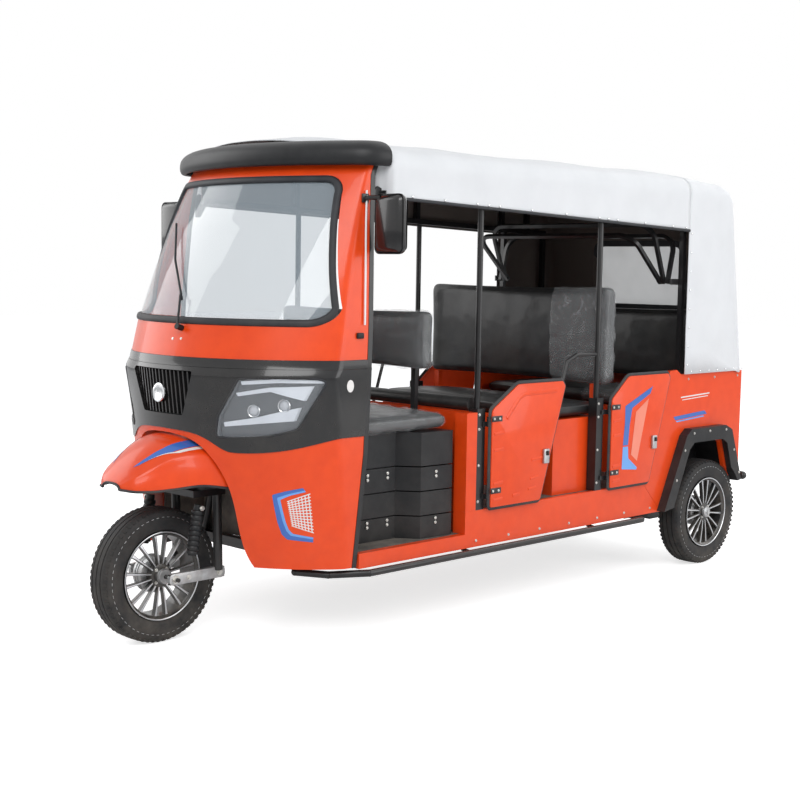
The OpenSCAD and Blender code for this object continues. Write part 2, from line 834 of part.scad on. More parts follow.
// Fork, in the same places as at rest
leg_x = leg_gap / 2;
pivot_y = 208;
pivot_z = 270;
module fork() {
  color("black") {
    steering_axis() cylinder(d = stem_d, h = 560);
    steering_axis() translate([0, 0, -44]) cylinder(d = 84, h = 38);
    block(-leg_x - 20, 70, 566, [leg_gap + 40, 150, 26]);
    both_sides() {
      bent_bar([[leg_x, 196, 570], [leg_x, pivot_y - 6, pivot_z]], 36);
    }
  }
  color("silver") both_sides() {
    block(leg_x - 12, -24, axle_z - 20, [14, 256, 40]);
  }
  color("silver") translate([0, front_y, axle_z]) rotate([0, 90, 0]) cylinder(d = 16, h = leg_gap + 50, center = true);
}

module shocks() {
  color("black") both_sides() translate([leg_x + 22, front_y, 0]) {
    bar([0, 62, 345], [0, 92, 540], 34);
    for (i = [0 : 9]) let (t = (i + 0.5) / 10)
      translate([0, 62 + 30 * t, 345 + 195 * t]) rotate([-8.7, 0, 0]) cylinder(d = 48, h = 9, center = true);
  }
}

module handlebar() {
  color("black") translate([0, 0, 0]) {
    bent_bar([[-330, 400, 1130], [-180, 360, 1160], [180, 360, 1160], [330, 400, 1130]], 24);
    steering_axis() translate([0, 0, 560 + gap]) cylinder(d = 60, h = 30);
  }
}

// A wheel about the origin with its axle along x, its outer face towards +x
module tyre() {
  color("black") rotate([0, 90, 0]) rotate_extrude($fn = 64) difference() {
    translate([(tyre_r + rim_r) / 2 - 4, 0]) round_rect(tyre_r - rim_r + 8, tyre_w, 24);
    translate([rim_r - 30, -60]) square([30 + gap, 120]);
    translate([rim_r - 30, -40]) square([44, 80]);
    for (y = [-26, 0, 26]) translate([tyre_r - 5, y - 2]) square([6, 4]);
  }
}

module rim() {
  color("silver") rotate([0, 90, 0]) {
    rotate_extrude($fn = 64) polygon([
      [rim_r - 14, -52], [rim_r, -52], [rim_r, -47], [rim_r - 9, -42], [rim_r - 9, 42], [rim_r, 47],
      [rim_r, 58], [rim_r - 10, 58], [rim_r - 16, 46], [rim_r - 16, -42]
    ]);
    translate([0, 0, 18]) cylinder(d = hub_d, h = 30);
    translate([0, 0, 28]) linear_extrude(16) for (i = [0 : spoke_pairs - 1]) rotate(i * 360 / spoke_pairs)
      for (s = [-1, 1]) polygon([[30, s * 3], [30, s * 12], [rim_r - 12, s * 32], [rim_r - 12, s * 20]]);
  }
}

module front_tyre() {
  translate([0, front_y, axle_z]) tyre();
}

module front_rim() {
  translate([0, front_y, axle_z]) difference() {
    union() {
      rim();
      rotate([0, 90, 0]) cylinder(d = 60, h = 150, center = true);
    }
    rotate([0, 90, 0]) cylinder(d = 17, h = 400, center = true);
  }
}

module rear_tyre_left() {
  translate([track / 2, rear_y, axle_z]) tyre();
}

module rear_rim_left() {
  translate([track / 2, rear_y, axle_z]) difference() {
    union() {
      rim();
      rotate([0, 90, 0]) translate([0, 0, -40]) cylinder(d = 70, h = 90);
    }
    rotate([0, 90, 0]) cylinder(d = 35, h = 400, center = true);
  }
}

module rear_tyre_right() {
  mirror([1, 0, 0]) rear_tyre_left();
}

module rear_rim_right() {
  mirror([1, 0, 0]) rear_rim_left();
}

// A door: its outline from the hinge line backwards, and its hinge knuckles
door_low = 462;
door_high = 968;
module door(y, top_front, top_rear, low_rear) {
  color("orangered") {
    side_plate(body_h + 6, body_h + 6 + door_t, [
      [y + 12, door_low], [low_rear, door_low], [top_rear, door_high - 22], [top_rear - 18, door_high],
      [top_front, door_high], [y + 12, 868]
    ]);
    for (z = [500, 800]) {
      translate([hinge_x, front_y + y, z + barrel_h + 1]) cylinder(d = barrel_d, h = barrel_h);
      block(hinge_x - 3, y, z + barrel_h + 1, [6, 14, barrel_h]);
    }
  }
}

module front_door_left() {
  door(door_1, 1400, 1712, 1556);
}

module front_door_right() {
  mirror([1, 0, 0]) front_door_left();
}

module rear_door_left() {
  door(door_2, 2180, 2508, 2356);
}

module rear_door_right() {
  mirror([1, 0, 0]) rear_door_left();
}

frame();
floors();
cab_shell();
belt_strip();
front_panel();
headlamps();
lower_shell();
cab_edge();
windscreen();
windscreen_seal();
wiper();
visor();
mudguard();
dash();
side_skirts();
rear_quarters();
wheel_flares();
tail_panel();
tail_lamps();
bumper();
step_tubes();
door_posts();
hood_frame();
canvas_roof();
canvas_rear();
rear_window();
mirrors();
driver_box();
driver_cushion();
driver_back();
bulkhead();
bulkhead_rail();
seat_boxes();
row1_cushion();
row1_back();
row2_cushion();
row2_back();
power_unit();
rear_axle();
fork();
shocks();
handlebar();
front_tyre();
front_rim();
rear_tyre_left();
rear_rim_left();
rear_tyre_right();
rear_rim_right();
front_door_left();
front_door_right();
rear_door_left();
rear_door_right();
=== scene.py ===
import math

import bmesh
import bpy
import numpy as np
from mathutils import Matrix, Vector, noise


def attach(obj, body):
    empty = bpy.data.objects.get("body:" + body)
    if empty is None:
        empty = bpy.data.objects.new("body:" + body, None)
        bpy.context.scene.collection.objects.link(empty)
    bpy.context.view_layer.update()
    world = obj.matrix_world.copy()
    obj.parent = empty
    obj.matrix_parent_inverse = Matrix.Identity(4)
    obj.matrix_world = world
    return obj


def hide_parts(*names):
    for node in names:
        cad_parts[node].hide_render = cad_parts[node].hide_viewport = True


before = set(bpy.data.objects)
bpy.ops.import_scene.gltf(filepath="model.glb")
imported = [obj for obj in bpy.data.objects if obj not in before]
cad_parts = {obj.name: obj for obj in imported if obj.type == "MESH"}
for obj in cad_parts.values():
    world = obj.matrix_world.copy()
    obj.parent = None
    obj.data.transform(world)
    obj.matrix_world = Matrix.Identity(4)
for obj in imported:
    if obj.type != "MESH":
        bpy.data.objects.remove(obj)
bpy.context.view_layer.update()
scene = bpy.context.scene

view = {"eye": (4.370, -4.519, 1.440), "yaw": 45.162, "pitch": -5.402, "roll": 0.923, "lens": 62.32}
floorLook = {"color": (0.90, 0.90, 0.90), "size": 60}
lights = {
    "key": {"at": (5.5, -6.0, 6.5), "size": 5.0, "power": 420, "aim": (0, 0, 0.9)},
    "fill": {"at": (-6.5, -4.0, 4.0), "size": 6.0, "power": 240, "aim": (0, 0, 0.8)},
    "side": {"at": (7.0, 3.0, 3.0), "size": 5.0, "power": 200, "aim": (0, 0.5, 0.8)},
    "back": {"at": (0.0, 7.5, 5.5), "size": 6.0, "power": 260, "aim": (0, 0.5, 1.0)},
}


def back(y):
    return (y - 1490) / 1000  # a distance behind the front axle, in mm, as this frame's y


def at(x, y, z):
    return Vector((x / 1000, back(y), z / 1000))


print("stage: camera and light")
camData = bpy.data.cameras.new("camera")
camData.lens = view["lens"]
camData.sensor_width = 36
cam = bpy.data.objects.new("camera", camData)
scene.collection.objects.link(cam)
cam.location = view["eye"]
yaw, pitch, roll = (math.radians(view[k]) for k in ("yaw", "pitch", "roll"))
forward = Vector((-math.sin(yaw) * math.cos(pitch), math.cos(yaw) * math.cos(pitch), math.sin(pitch)))
rightFlat = Vector((math.cos(yaw), math.sin(yaw), 0))
upFlat = rightFlat.cross(forward)
right = math.cos(roll) * rightFlat + math.sin(roll) * upFlat
up = -math.sin(roll) * rightFlat + math.cos(roll) * upFlat
cam.rotation_mode = "QUATERNION"
cam.rotation_quaternion = Matrix((right, up, -forward)).transposed().to_quaternion()
scene.camera = cam
scene.view_settings.view_transform = "Standard"

for name, l in lights.items():
    data = bpy.data.lights.new(name, "AREA")
    data.shape = "SQUARE"
    data.size = l["size"]
    data.energy = l["power"]
    lamp = bpy.data.objects.new(name, data)
    scene.collection.objects.link(lamp)
    lamp.location = l["at"]
    lamp.rotation_euler = (Vector(l["aim"]) - Vector(l["at"])).to_track_quat("-Z", "Y").to_euler()

world = bpy.data.worlds.new("world")
scene.world = world
world.use_nodes = True
wt = world.node_tree
wt.nodes.clear()
wOut = wt.nodes.new("ShaderNodeOutputWorld")
wSoft = wt.nodes.new("ShaderNodeBackground")
wSoft.inputs[0].default_value = (0.95, 0.97, 1.0, 1)
wSoft.inputs[1].default_value = 0.42
wSeen = wt.nodes.new("ShaderNodeBackground")
wSeen.inputs[0].default_value = (1, 1, 1, 1)
wSeen.inputs[1].default_value = 1.0
wPath = wt.nodes.new("ShaderNodeLightPath")
wPick = wt.nodes.new("ShaderNodeMath")
wPick.operation = "MAXIMUM"
wMix = wt.nodes.new("ShaderNodeMixShader")
wt.links.new(wPath.outputs["Is Camera Ray"], wPick.inputs[0])
wGloss = wt.nodes.new("ShaderNodeMath")
wGloss.operation = "MAXIMUM"
wt.links.new(wPath.outputs["Is Transmission Ray"], wGloss.inputs[0])
wt.links.new(wPath.outputs["Is Glossy Ray"], wGloss.inputs[1])
wt.links.new(wGloss.outputs[0], wPick.inputs[1])
wt.links.new(wPick.outputs[0], wMix.inputs[0])
wt.links.new(wSoft.outputs[0], wMix.inputs[1])
wt.links.new(wSeen.outputs[0], wMix.inputs[2])
wt.links.new(wMix.outputs[0], wOut.inputs[0])


def meshPiece(name, verts, faces, body, mats, smooth=True):
    me = bpy.data.meshes.new(name)
    me.from_pydata([tuple(v) for v in verts], [], [tuple(f) for f in faces])
    me.validate()
    o = bpy.data.objects.new(name, me)
    scene.collection.objects.link(o)
    for m in mats if isinstance(mats, (list, tuple)) else [mats]:
        me.materials.append(m)
    for p in me.polygons:
        p.use_smooth = smooth
    if body:
        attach(o, body)
    return o


floorMesh = bpy.data.meshes.new("floor")
s = floorLook["size"] / 2
floorMesh.from_pydata([(-s, -s, 0), (s, -s, 0), (s, s, 0), (-s, s, 0)], [], [(0, 1, 2, 3)])
floorObj = bpy.data.objects.new("floor", floorMesh)
scene.collection.objects.link(floorObj)


def startGroup(name, ins, outs):
    g = bpy.data.node_groups.new(name, "ShaderNodeTree")
    for n, kind, value in ins:
        sock = g.interface.new_socket(n, in_out="INPUT", socket_type="NodeSocket" + kind)
        sock.default_value = value
    for n, kind in outs:
        g.interface.new_socket(n, in_out="OUTPUT", socket_type="NodeSocket" + kind)
    return g, g.nodes.new("NodeGroupInput"), g.nodes.new("NodeGroupOutput")


def addNode(tree, kind, **settings):
    n = tree.nodes.new(kind)
    for k, v in settings.items():
        setattr(n, k, v)
    return n


def mathNode(tree, operation, a, b=None, clamp=False):
    n = addNode(tree, "ShaderNodeMath", operation=operation, use_clamp=clamp)
    for i, x in enumerate((a, b)):
        if x is None:
            continue
        if isinstance(x, (int, float)):
            n.inputs[i].default_value = x
        else:
            tree.links.new(x, n.inputs[i])
    return n.outputs[0]


def mixColor(tree, fac, a, b, blend="MIX"):
    n = addNode(tree, "ShaderNodeMix", data_type="RGBA", blend_type=blend)
    for i, x in ((0, fac), (6, a), (7, b)):
        if isinstance(x, (int, float)):
            n.inputs[i].default_value = x
        elif isinstance(x, tuple):
            n.inputs[i].default_value = x if len(x) == 4 else (*x, 1)
        else:
            tree.links.new(x, n.inputs[i])
    return n.outputs[2]


def roadDustGroup():
    # dust that thickens towards the ground and lies in soft patches
    g, gi, go = startGroup(
        "roadDust",
        [("Color", "Color", (0.5, 0.5, 0.5, 1)), ("Dust Color", "Color", (0.36, 0.31, 0.25, 1)), ("Amount", "Float",
                0.2),
         ("Top", "Float", 0.6), ("Patch Scale", "Float", 6.0), ("Roughness", "Float", 0.4)],
        [("Color", "Color"), ("Roughness", "Float")],
    )
    tc = g.nodes.new("ShaderNodeTexCoord")
    xyz = g.nodes.new("ShaderNodeSeparateXYZ")
    g.links.new(tc.outputs["Object"], xyz.inputs[0])
    n = addNode(g, "ShaderNodeTexNoise")
    n.inputs["Detail"].default_value = 6
    n.inputs["Roughness"].default_value = 0.62
    g.links.new(tc.outputs["Object"], n.inputs["Vector"])
    g.links.new(gi.outputs["Patch Scale"], n.inputs["Scale"])
    low = mathNode(g, "DIVIDE", xyz.outputs["Z"], gi.outputs["Top"])
    low = mathNode(g, "SUBTRACT", 1.0, low, clamp=True)
    patch = mathNode(g, "MULTIPLY", mathNode(g, "SUBTRACT", n.outputs["Fac"], 0.36), 2.6, clamp=True)
    mask = mathNode(g, "MULTIPLY", mathNode(g, "ADD", low, 0.12), patch)
    mask = mathNode(g, "MULTIPLY", mask, gi.outputs["Amount"], clamp=True)
    g.links.new(mixColor(g, mask, gi.outputs["Color"], gi.outputs["Dust Color"]), go.inputs["Color"])
    rough = mathNode(g, "ADD", gi.outputs["Roughness"], mathNode(g, "MULTIPLY", mask, 0.45), clamp=True)
    g.links.new(rough, go.inputs["Roughness"])
    return g


def surfaceGrainGroup():
    # fine height for paint flow, moulded plastic or rubber, with a slow wave under it
    g, gi, go = startGroup(
        "surfaceGrain",
        [("Fine Scale", "Float", 300.0), ("Fine", "Float", 0.5), ("Slow Scale", "Float", 8.0), ("Slow", "Float",
                0.5)],
        [("Height", "Float"), ("Mask", "Float")],
    )
    tc = g.nodes.new("ShaderNodeTexCoord")
    fine = addNode(g, "ShaderNodeTexNoise")
    slow = addNode(g, "ShaderNodeTexNoise")
    fine.inputs["Detail"].default_value = 2
    slow.inputs["Detail"].default_value = 3
    for n, k in ((fine, "Fine Scale"), (slow, "Slow Scale")):
        g.links.new(tc.outputs["Object"], n.inputs["Vector"])
        g.links.new(gi.outputs[k], n.inputs["Scale"])
    a = mathNode(g, "MULTIPLY", fine.outputs["Fac"], gi.outputs["Fine"])
    b = mathNode(g, "MULTIPLY", slow.outputs["Fac"], gi.outputs["Slow"])
    g.links.new(mathNode(g, "ADD", a, b), go.inputs["Height"])
    g.links.new(slow.outputs["Fac"], go.inputs["Mask"])
    return g


def wovenGroup():
    # plain weave on the Object coordinates, for canvas and seat cloth
    g, gi, go = startGroup(
        "wovenThread", [("Threads", "Float", 500.0)], [("Height", "Float")]
    )
    tc = g.nodes.new("ShaderNodeTexCoord")
    xyz = g.nodes.new("ShaderNodeSeparateXYZ")
    g.links.new(tc.outputs["Object"], xyz.inputs[0])
    total = None
    for axis in "XYZ":
        w = mathNode(g, "MULTIPLY", xyz.outputs[axis], gi.outputs["Threads"])
        w = mathNode(g, "ABSOLUTE", mathNode(g, "SINE", w))
        total = w if total is None else mathNode(g, "MULTIPLY", total, w)
    g.links.new(total, go.inputs["Height"])
    return g


dustGroup = roadDustGroup()
grainGroup = surfaceGrainGroup()
weaveGroup = wovenGroup()


def finish(name, look):
    m = bpy.data.materials.new(name)
    m.use_nodes = True
    t = m.node_tree
    t.nodes.clear()
    out = t.nodes.new("ShaderNodeOutputMaterial")
    b = t.nodes.new("ShaderNodeBsdfPrincipled")
    t.links.new(b.outputs[0], out.inputs[0])
    b.inputs["Metallic"].default_value = look.get("metallic", 0.0)
    b.inputs["Specular IOR Level"].default_value = look.get("spec", 0.5)
    b.inputs["Coat Weight"].default_value = look.get("coat", 0.0)
    b.inputs["Coat Roughness"].default_value = look.get("coatRough", 0.05)
    b.inputs["Sheen Weight"].default_value = look.get("sheen", 0.0)
    b.inputs["Transmission Weight"].default_value = look.get("glass", 0.0)
    b.inputs["Alpha"].default_value = look.get("alpha", 1.0)
    b.inputs["IOR"].default_value = look.get("ior", 1.5)
    b.inputs["Roughness"].default_value = look["rough"]
    if "glow" in look:
        b.inputs["Emission Color"].default_value = (*look["glow"], 1)
        b.inputs["Emission Strength"].default_value = look.get("glowPower", 1.0)
    gr = t.nodes.new("ShaderNodeGroup")
    gr.node_tree = grainGroup
    for k, s in (("fineScale", "Fine Scale"), ("fine", "Fine"), ("slowScale", "Slow Scale"), ("slow", "Slow")):
        if k in look:
            gr.inputs[s].default_value = look[k]
    a = (*look["color"], 1)
    b2 = (*look.get("second", look["color"]), 1)
    tone = mixColor(t, mathNode(t, "MULTIPLY", mathNode(t, "SUBTRACT", gr.outputs["Mask"], 0.35), 2.5, clamp=True), a,
            b2)
    du = t.nodes.new("ShaderNodeGroup")
    du.node_tree = dustGroup
    t.links.new(tone, du.inputs["Color"])
    du.inputs["Dust Color"].default_value = (*look.get("dustColor", (0.36, 0.31, 0.25)), 1)
    du.inputs["Amount"].default_value = look.get("dust", 0.1)
    du.inputs["Top"].default_value = look.get("dustTop", 0.6)
    du.inputs["Patch Scale"].default_value = look.get("patch", 6.0)
    du.inputs["Roughness"].default_value = look["rough"]
    t.links.new(du.outputs["Color"], b.inputs["Base Color"])
    t.links.new(du.outputs["Roughness"], b.inputs["Roughness"])
    height = gr.outputs["Height"]
    if "threads" in look:
        wv = t.nodes.new("ShaderNodeGroup")
        wv.node_tree = weaveGroup
        wv.inputs["Threads"].default_value = look["threads"]
        height = mathNode(t, "ADD", height, mathNode(t, "MULTIPLY", wv.outputs[0], look.get("weave", 0.5)))
    bump = t.nodes.new("ShaderNodeBump")
    bump.inputs["Strength"].default_value = look.get("bump", 0.2)
    bump.inputs["Distance"].default_value = look.get("depth", 0.001)
    t.links.new(height, bump.inputs["Height"])
    t.links.new(bump.outputs[0], b.inputs["Normal"])
    m["look"] = name
    return m


print("stage: finishes")
looks = {
    "orangePaint": {"color": (0.80, 0.066, 0.006), "second": (0.74, 0.056, 0.005), "rough": 0.32, "coat": 0.2,
            "coatRough": 0.04, "spec": 0.3, "fineScale": 900, "fine": 0.12, "slowScale": 18, "slow": 0.5,
            "bump": 0.05, "depth": 0.0008, "dust": 0.07, "dustTop": 0.7, "patch": 5},
    "glossBlack": {"spec": 0.35, "color": (0.008, 0.008, 0.009), "second": (0.012, 0.012, 0.013), "rough": 0.2,
            "coat": 0.35, "coatRough": 0.05, "fineScale": 1200, "fine": 0.1, "slowScale": 22, "slow": 0.4,
            "bump": 0.04, "dust": 0.12, "dustTop": 1.2},
    "mouldedBlack": {"spec": 0.3, "color": (0.009, 0.0095, 0.011), "second": (0.015, 0.016, 0.018), "rough": 0.42,
            "fineScale": 1500, "fine": 0.8, "slowScale": 12, "slow": 0.4, "bump": 0.25, "depth": 0.0006, "dust": 0.10,
            "dustTop": 0.8},
    "blackTube": {"spec": 0.3, "color": (0.010, 0.010, 0.011), "second": (0.016, 0.016, 0.017), "rough": 0.33,
            "coat": 0.3, "fineScale": 700, "fine": 0.3, "slowScale": 20, "slow": 0.5, "bump": 0.12, "dust": 0.12,
            "dustTop": 0.5},
    "sealRubber": {"spec": 0.3, "color": (0.018, 0.020, 0.024), "second": (0.030, 0.032, 0.037), "rough": 0.55,
            "fineScale": 900, "fine": 0.5, "slowScale": 14, "slow": 0.5, "bump": 0.2, "dust": 0.2, "dustTop": 1.6},
    "tyreRubber": {"spec": 0.3, "color": (0.016, 0.016, 0.017), "second": (0.026, 0.026, 0.027), "rough": 0.66,
            "fineScale": 600, "fine": 0.7, "slowScale": 16, "slow": 0.6, "bump": 0.3, "depth": 0.0012, "dust": 0.2,
            "dustTop": 0.55, "patch": 12},
    "machinedAlloy": {"color": (0.66, 0.67, 0.69), "second": (0.56, 0.57, 0.59), "rough": 0.3, "metallic": 1.0,
            "fineScale": 800, "fine": 0.5, "slowScale": 30, "slow": 0.4, "bump": 0.1, "dust": 0.25, "dustTop": 0.45,
            "patch": 20},
    "rimBlack": {"color": (0.012, 0.012, 0.013), "second": (0.02, 0.02, 0.021), "rough": 0.35, "coat": 0.4,
            "fineScale": 800, "fine": 0.4, "slowScale": 25, "slow": 0.5, "bump": 0.1, "dust": 0.45, "dustTop": 0.5,
            "patch": 14},
    "castSilver": {"color": (0.52, 0.53, 0.54), "second": (0.38, 0.38, 0.385), "rough": 0.42, "metallic": 0.9,
            "fineScale": 500, "fine": 0.8, "slowScale": 40, "slow": 0.6, "bump": 0.3, "depth": 0.0008, "dust": 0.4,
            "dustTop": 0.5, "patch": 24},
    "brightMetal": {"color": (0.78, 0.79, 0.80), "second": (0.70, 0.71, 0.72), "rough": 0.16, "metallic": 1.0,
            "fineScale": 900, "fine": 0.2, "slowScale": 30, "slow": 0.3, "bump": 0.05, "dust": 0.08},
    "zincBolt": {"color": (0.66, 0.65, 0.62), "second": (0.50, 0.49, 0.47), "rough": 0.34, "metallic": 1.0,
            "fineScale": 900, "fine": 0.5, "slowScale": 60, "slow": 0.5, "bump": 0.15, "dust": 0.15},
    "hoodCanvas": {"color": (0.70, 0.715, 0.735), "second": (0.66, 0.675, 0.695), "rough": 0.62, "sheen": 0.15,
            "fineScale": 700, "fine": 0.3, "slowScale": 7, "slow": 0.6, "threads": 2600, "weave": 0.5, "bump": 0.28,
            "depth": 0.0006, "dust": 0.05, "dustTop": 2.6},
    "hoodLining": {"color": (0.105, 0.085, 0.074), "second": (0.082, 0.066, 0.058), "rough": 0.85, "sheen": 0.3,
            "fineScale": 500, "fine": 0.4, "slowScale": 6, "slow": 0.7, "threads": 1900, "weave": 0.7, "bump": 0.4,
            "depth": 0.0008, "dust": 0.1, "dustTop": 2.2},
    "seatLeather": {"spec": 0.35, "color": (0.012, 0.013, 0.014), "second": (0.020, 0.021, 0.023), "rough": 0.42,
            "coat": 0.12, "fineScale": 420, "fine": 0.9, "slowScale": 9, "slow": 0.6, "bump": 0.35, "depth": 0.0008,
            "dust": 0.12, "dustTop": 1.6},
    "floorMat": {"color": (0.060, 0.057, 0.052), "second": (0.10, 0.094, 0.085), "rough": 0.7, "fineScale": 300,
            "fine": 0.9, "slowScale": 20, "slow": 0.8, "bump": 0.4, "depth": 0.0012, "dust": 0.9, "dustTop": 0.9,
            "patch": 9},
    "lampBezel": {"color": (0.045, 0.048, 0.055), "second": (0.06, 0.064, 0.072), "rough": 0.25, "coat": 0.5,
            "fineScale": 900, "fine": 0.3, "slowScale": 20, "slow": 0.3, "bump": 0.08},
    "lightBar": {"color": (0.62, 0.64, 0.68), "second": (0.50, 0.52, 0.56), "rough": 0.22, "coat": 0.4,
            "fineScale": 500, "fine": 0.7, "slowScale": 60, "slow": 0.5, "bump": 0.2},
    "redLens": {"color": (0.42, 0.010, 0.008), "second": (0.34, 0.008, 0.006), "rough": 0.18, "coat": 0.6,
            "fineScale": 420, "fine": 0.8, "slowScale": 40, "slow": 0.4, "bump": 0.2},
    "amberLens": {"color": (0.75, 0.22, 0.02), "second": (0.66, 0.18, 0.02), "rough": 0.18, "coat": 0.6,
            "fineScale": 420, "fine": 0.8, "slowScale": 40, "slow": 0.4, "bump": 0.2},
    "decalBlue": {"color": (0.035, 0.14, 0.50), "second": (0.03, 0.12, 0.44), "rough": 0.3, "coat": 0.4, "dust": 0.15,
            "bump": 0.04},
    "decalSky": {"color": (0.13, 0.36, 0.80), "second": (0.12, 0.33, 0.74), "rough": 0.3, "coat": 0.4, "dust": 0.15,
            "bump": 0.04},
    "decalWhite": {"color": (0.80, 0.78, 0.76), "second": (0.74, 0.72, 0.70), "rough": 0.32, "coat": 0.4,
            "dust": 0.15, "bump": 0.04},
    "decalRose": {"color": (0.86, 0.24, 0.15), "second": (0.82, 0.20, 0.12), "rough": 0.3, "coat": 0.5, "dust": 0.1,
            "bump": 0.04},
    "engineGrey": {"color": (0.20, 0.20, 0.21), "second": (0.13, 0.13, 0.135), "rough": 0.5, "metallic": 0.7,
            "fineScale": 400, "fine": 0.8, "bump": 0.4, "dust": 0.4},
    "pale": {"color": (0.78, 0.79, 0.80), "second": (0.72, 0.73, 0.74), "rough": 0.4, "bump": 0.05},
}
mat = {k: finish(k, v) for k, v in looks.items()}


def clearFinish(name, tint, rough, alpha, coat, slow):
    # clear glass or film: thin, so it is a see-through sheet with a glossy skin
    m = bpy.data.materials.new(name)
    m.use_nodes = True
    t = m.node_tree
    b = t.nodes["Principled BSDF"]
    b.inputs["Roughness"].default_value = rough
    b.inputs["Coat Weight"].default_value = coat
    b.inputs["Coat Roughness"].default_value = 0.03
    gr = t.nodes.new("ShaderNodeGroup")
    gr.node_tree = grainGroup
    gr.inputs["Fine"].default_value = 0.1
    gr.inputs["Slow Scale"].default_value = slow[0]
    gr.inputs["Slow"].default_value = slow[1]
    t.links.new(mixColor(t, gr.outputs["Mask"], tint, tuple(c * 0.85 for c in tint)), b.inputs["Base Color"])
    b.inputs["Alpha"].default_value = alpha
    bump = t.nodes.new("ShaderNodeBump")
    bump.inputs["Strength"].default_value = slow[2]
    bump.inputs["Distance"].default_value = 0.006 if slow[2] > 0.8 else 0.002
    t.links.new(gr.outputs["Height"], bump.inputs["Height"])
    t.links.new(bump.outputs[0], b.inputs["Normal"])
    return m


mat["screenGlass"] = clearFinish("screenGlass", (0.42, 0.50, 0.56), 0.04, 0.34, 1.0, (2.0, 0.3, 0.03))
mat["lampCover"] = clearFinish("lampCover", (0.50, 0.54, 0.58), 0.04, 0.13, 1.0, (6.0, 0.3, 0.03))
mat["wrapFilm"] = clearFinish("wrapFilm", (0.80, 0.83, 0.85), 0.08, 0.15, 1.0, (34.0, 1.0, 1.0))
mat["rearPane"] = clearFinish("rearPane", (0.62, 0.66, 0.68), 0.15, 0.45, 0.8, (9.0, 0.8, 0.3))

floorMaterial = bpy.data.materials.new("studioFloor")
floorMaterial.use_nodes = True
ft = floorMaterial.node_tree
ft.nodes.clear()
fOut = ft.nodes.new("ShaderNodeOutputMaterial")
fBase = ft.nodes.new("ShaderNodeBsdfDiffuse")
fBase.inputs[0].default_value = (*floorLook["color"], 1)
fGlow = ft.nodes.new("ShaderNodeEmission")
fGlow.inputs[0].default_value = (1, 1, 1, 1)
fGlow.inputs[1].default_value = 0.66
fAdd = ft.nodes.new("ShaderNodeAddShader")
fPath = ft.nodes.new("ShaderNodeLightPath")
fPick = ft.nodes.new("ShaderNodeMixShader")
ft.links.new(fBase.outputs[0], fAdd.inputs[0])
ft.links.new(fGlow.outputs[0], fAdd.inputs[1])
ft.links.new(fPath.outputs["Is Camera Ray"], fPick.inputs[0])
ft.links.new(fBase.outputs[0], fPick.inputs[1])
ft.links.new(fAdd.outputs[0], fPick.inputs[2])
ft.links.new(fPick.outputs[0], fOut.inputs[0])
floorMesh.materials.append(floorMaterial)

nodeFinish = {
    "frame": "blackTube", "floors": "floorMat", "cab_edge": "blackTube", "wiper": "mouldedBlack", "dash": "mouldedBlack",
    "side_skirts": "orangePaint", "rear_quarters": "orangePaint", "wheel_flares": "mouldedBlack", "tail_panel": "orangePaint",
    "tail_lamps": "redLens", "bumper": "blackTube", "step_tubes": "blackTube", "door_posts": "blackTube", "hood_frame": "blackTube",
    "mirrors": "mouldedBlack", "driver_box": "mouldedBlack", "bulkhead": "orangePaint", "bulkhead_rail": "seatLeather",
    "seat_boxes": "orangePaint", "power_unit": "engineGrey", "rear_axle": "blackTube", "fork": "blackTube", "shocks": "blackTube",
    "handlebar": "blackTube", "front_door_left": "orangePaint", "front_door_right": "orangePaint", "rear_door_left": "orangePaint",
    "rear_door_right": "orangePaint", "rear_window": "rearPane", "cab_shell": "orangePaint", "belt_strip": "glossBlack",
    "front_panel": "glossBlack", "headlamps": "lampBezel", "lower_shell": "orangePaint", "windscreen": "screenGlass",
    "windscreen_seal": "sealRubber", "visor": "mouldedBlack", "mudguard": "orangePaint", "canvas_roof": "hoodCanvas",
    "canvas_rear": "hoodCanvas", "driver_cushion": "seatLeather", "driver_back": "seatLeather", "row1_cushion": "seatLeather",
    "row1_back": "seatLeather", "row2_cushion": "seatLeather", "row2_back": "seatLeather", "front_tyre": "tyreRubber",
    "rear_tyre_left": "tyreRubber", "rear_tyre_right": "tyreRubber", "front_rim": "machinedAlloy", "rear_rim_left": "machinedAlloy",
    "rear_rim_right": "machinedAlloy",
}
for name, key in nodeFinish.items():
    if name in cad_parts:
        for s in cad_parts[name].material_slots:
            s.material = mat[key]


print("stage: cab")
cabLevels = [  # height, front on the centre line, front radius, half width, corner radius, rear edge
    (308, 125, 680, 585, 80, 490), (560, 80, 680, 594, 80, 512), (740, 50, 680, 600, 80, 528), (1040, 15, 680, 603,
            80, 540),
    (1072, 32, 680, 603, 80, 540), (1235, 75, 690, 601, 80, 546), (1420, 158, 740, 592, 60, 554), (1600, 250, 800,
            580, 50, 564),
    (1790, 368, 900, 560, 30, 586), (1846, 402, 900, 552, 30, 616),
]


def cabLevel(z):
    k = 0
    while k < len(cabLevels) - 2 and z > cabLevels[k + 1][0]:
        k += 1
    a, b = cabLevels[k], cabLevels[k + 1]
    t = (z - a[0]) / (b[0] - a[0])
    return [p + (q - p) * t for p, q in zip(a, b)]


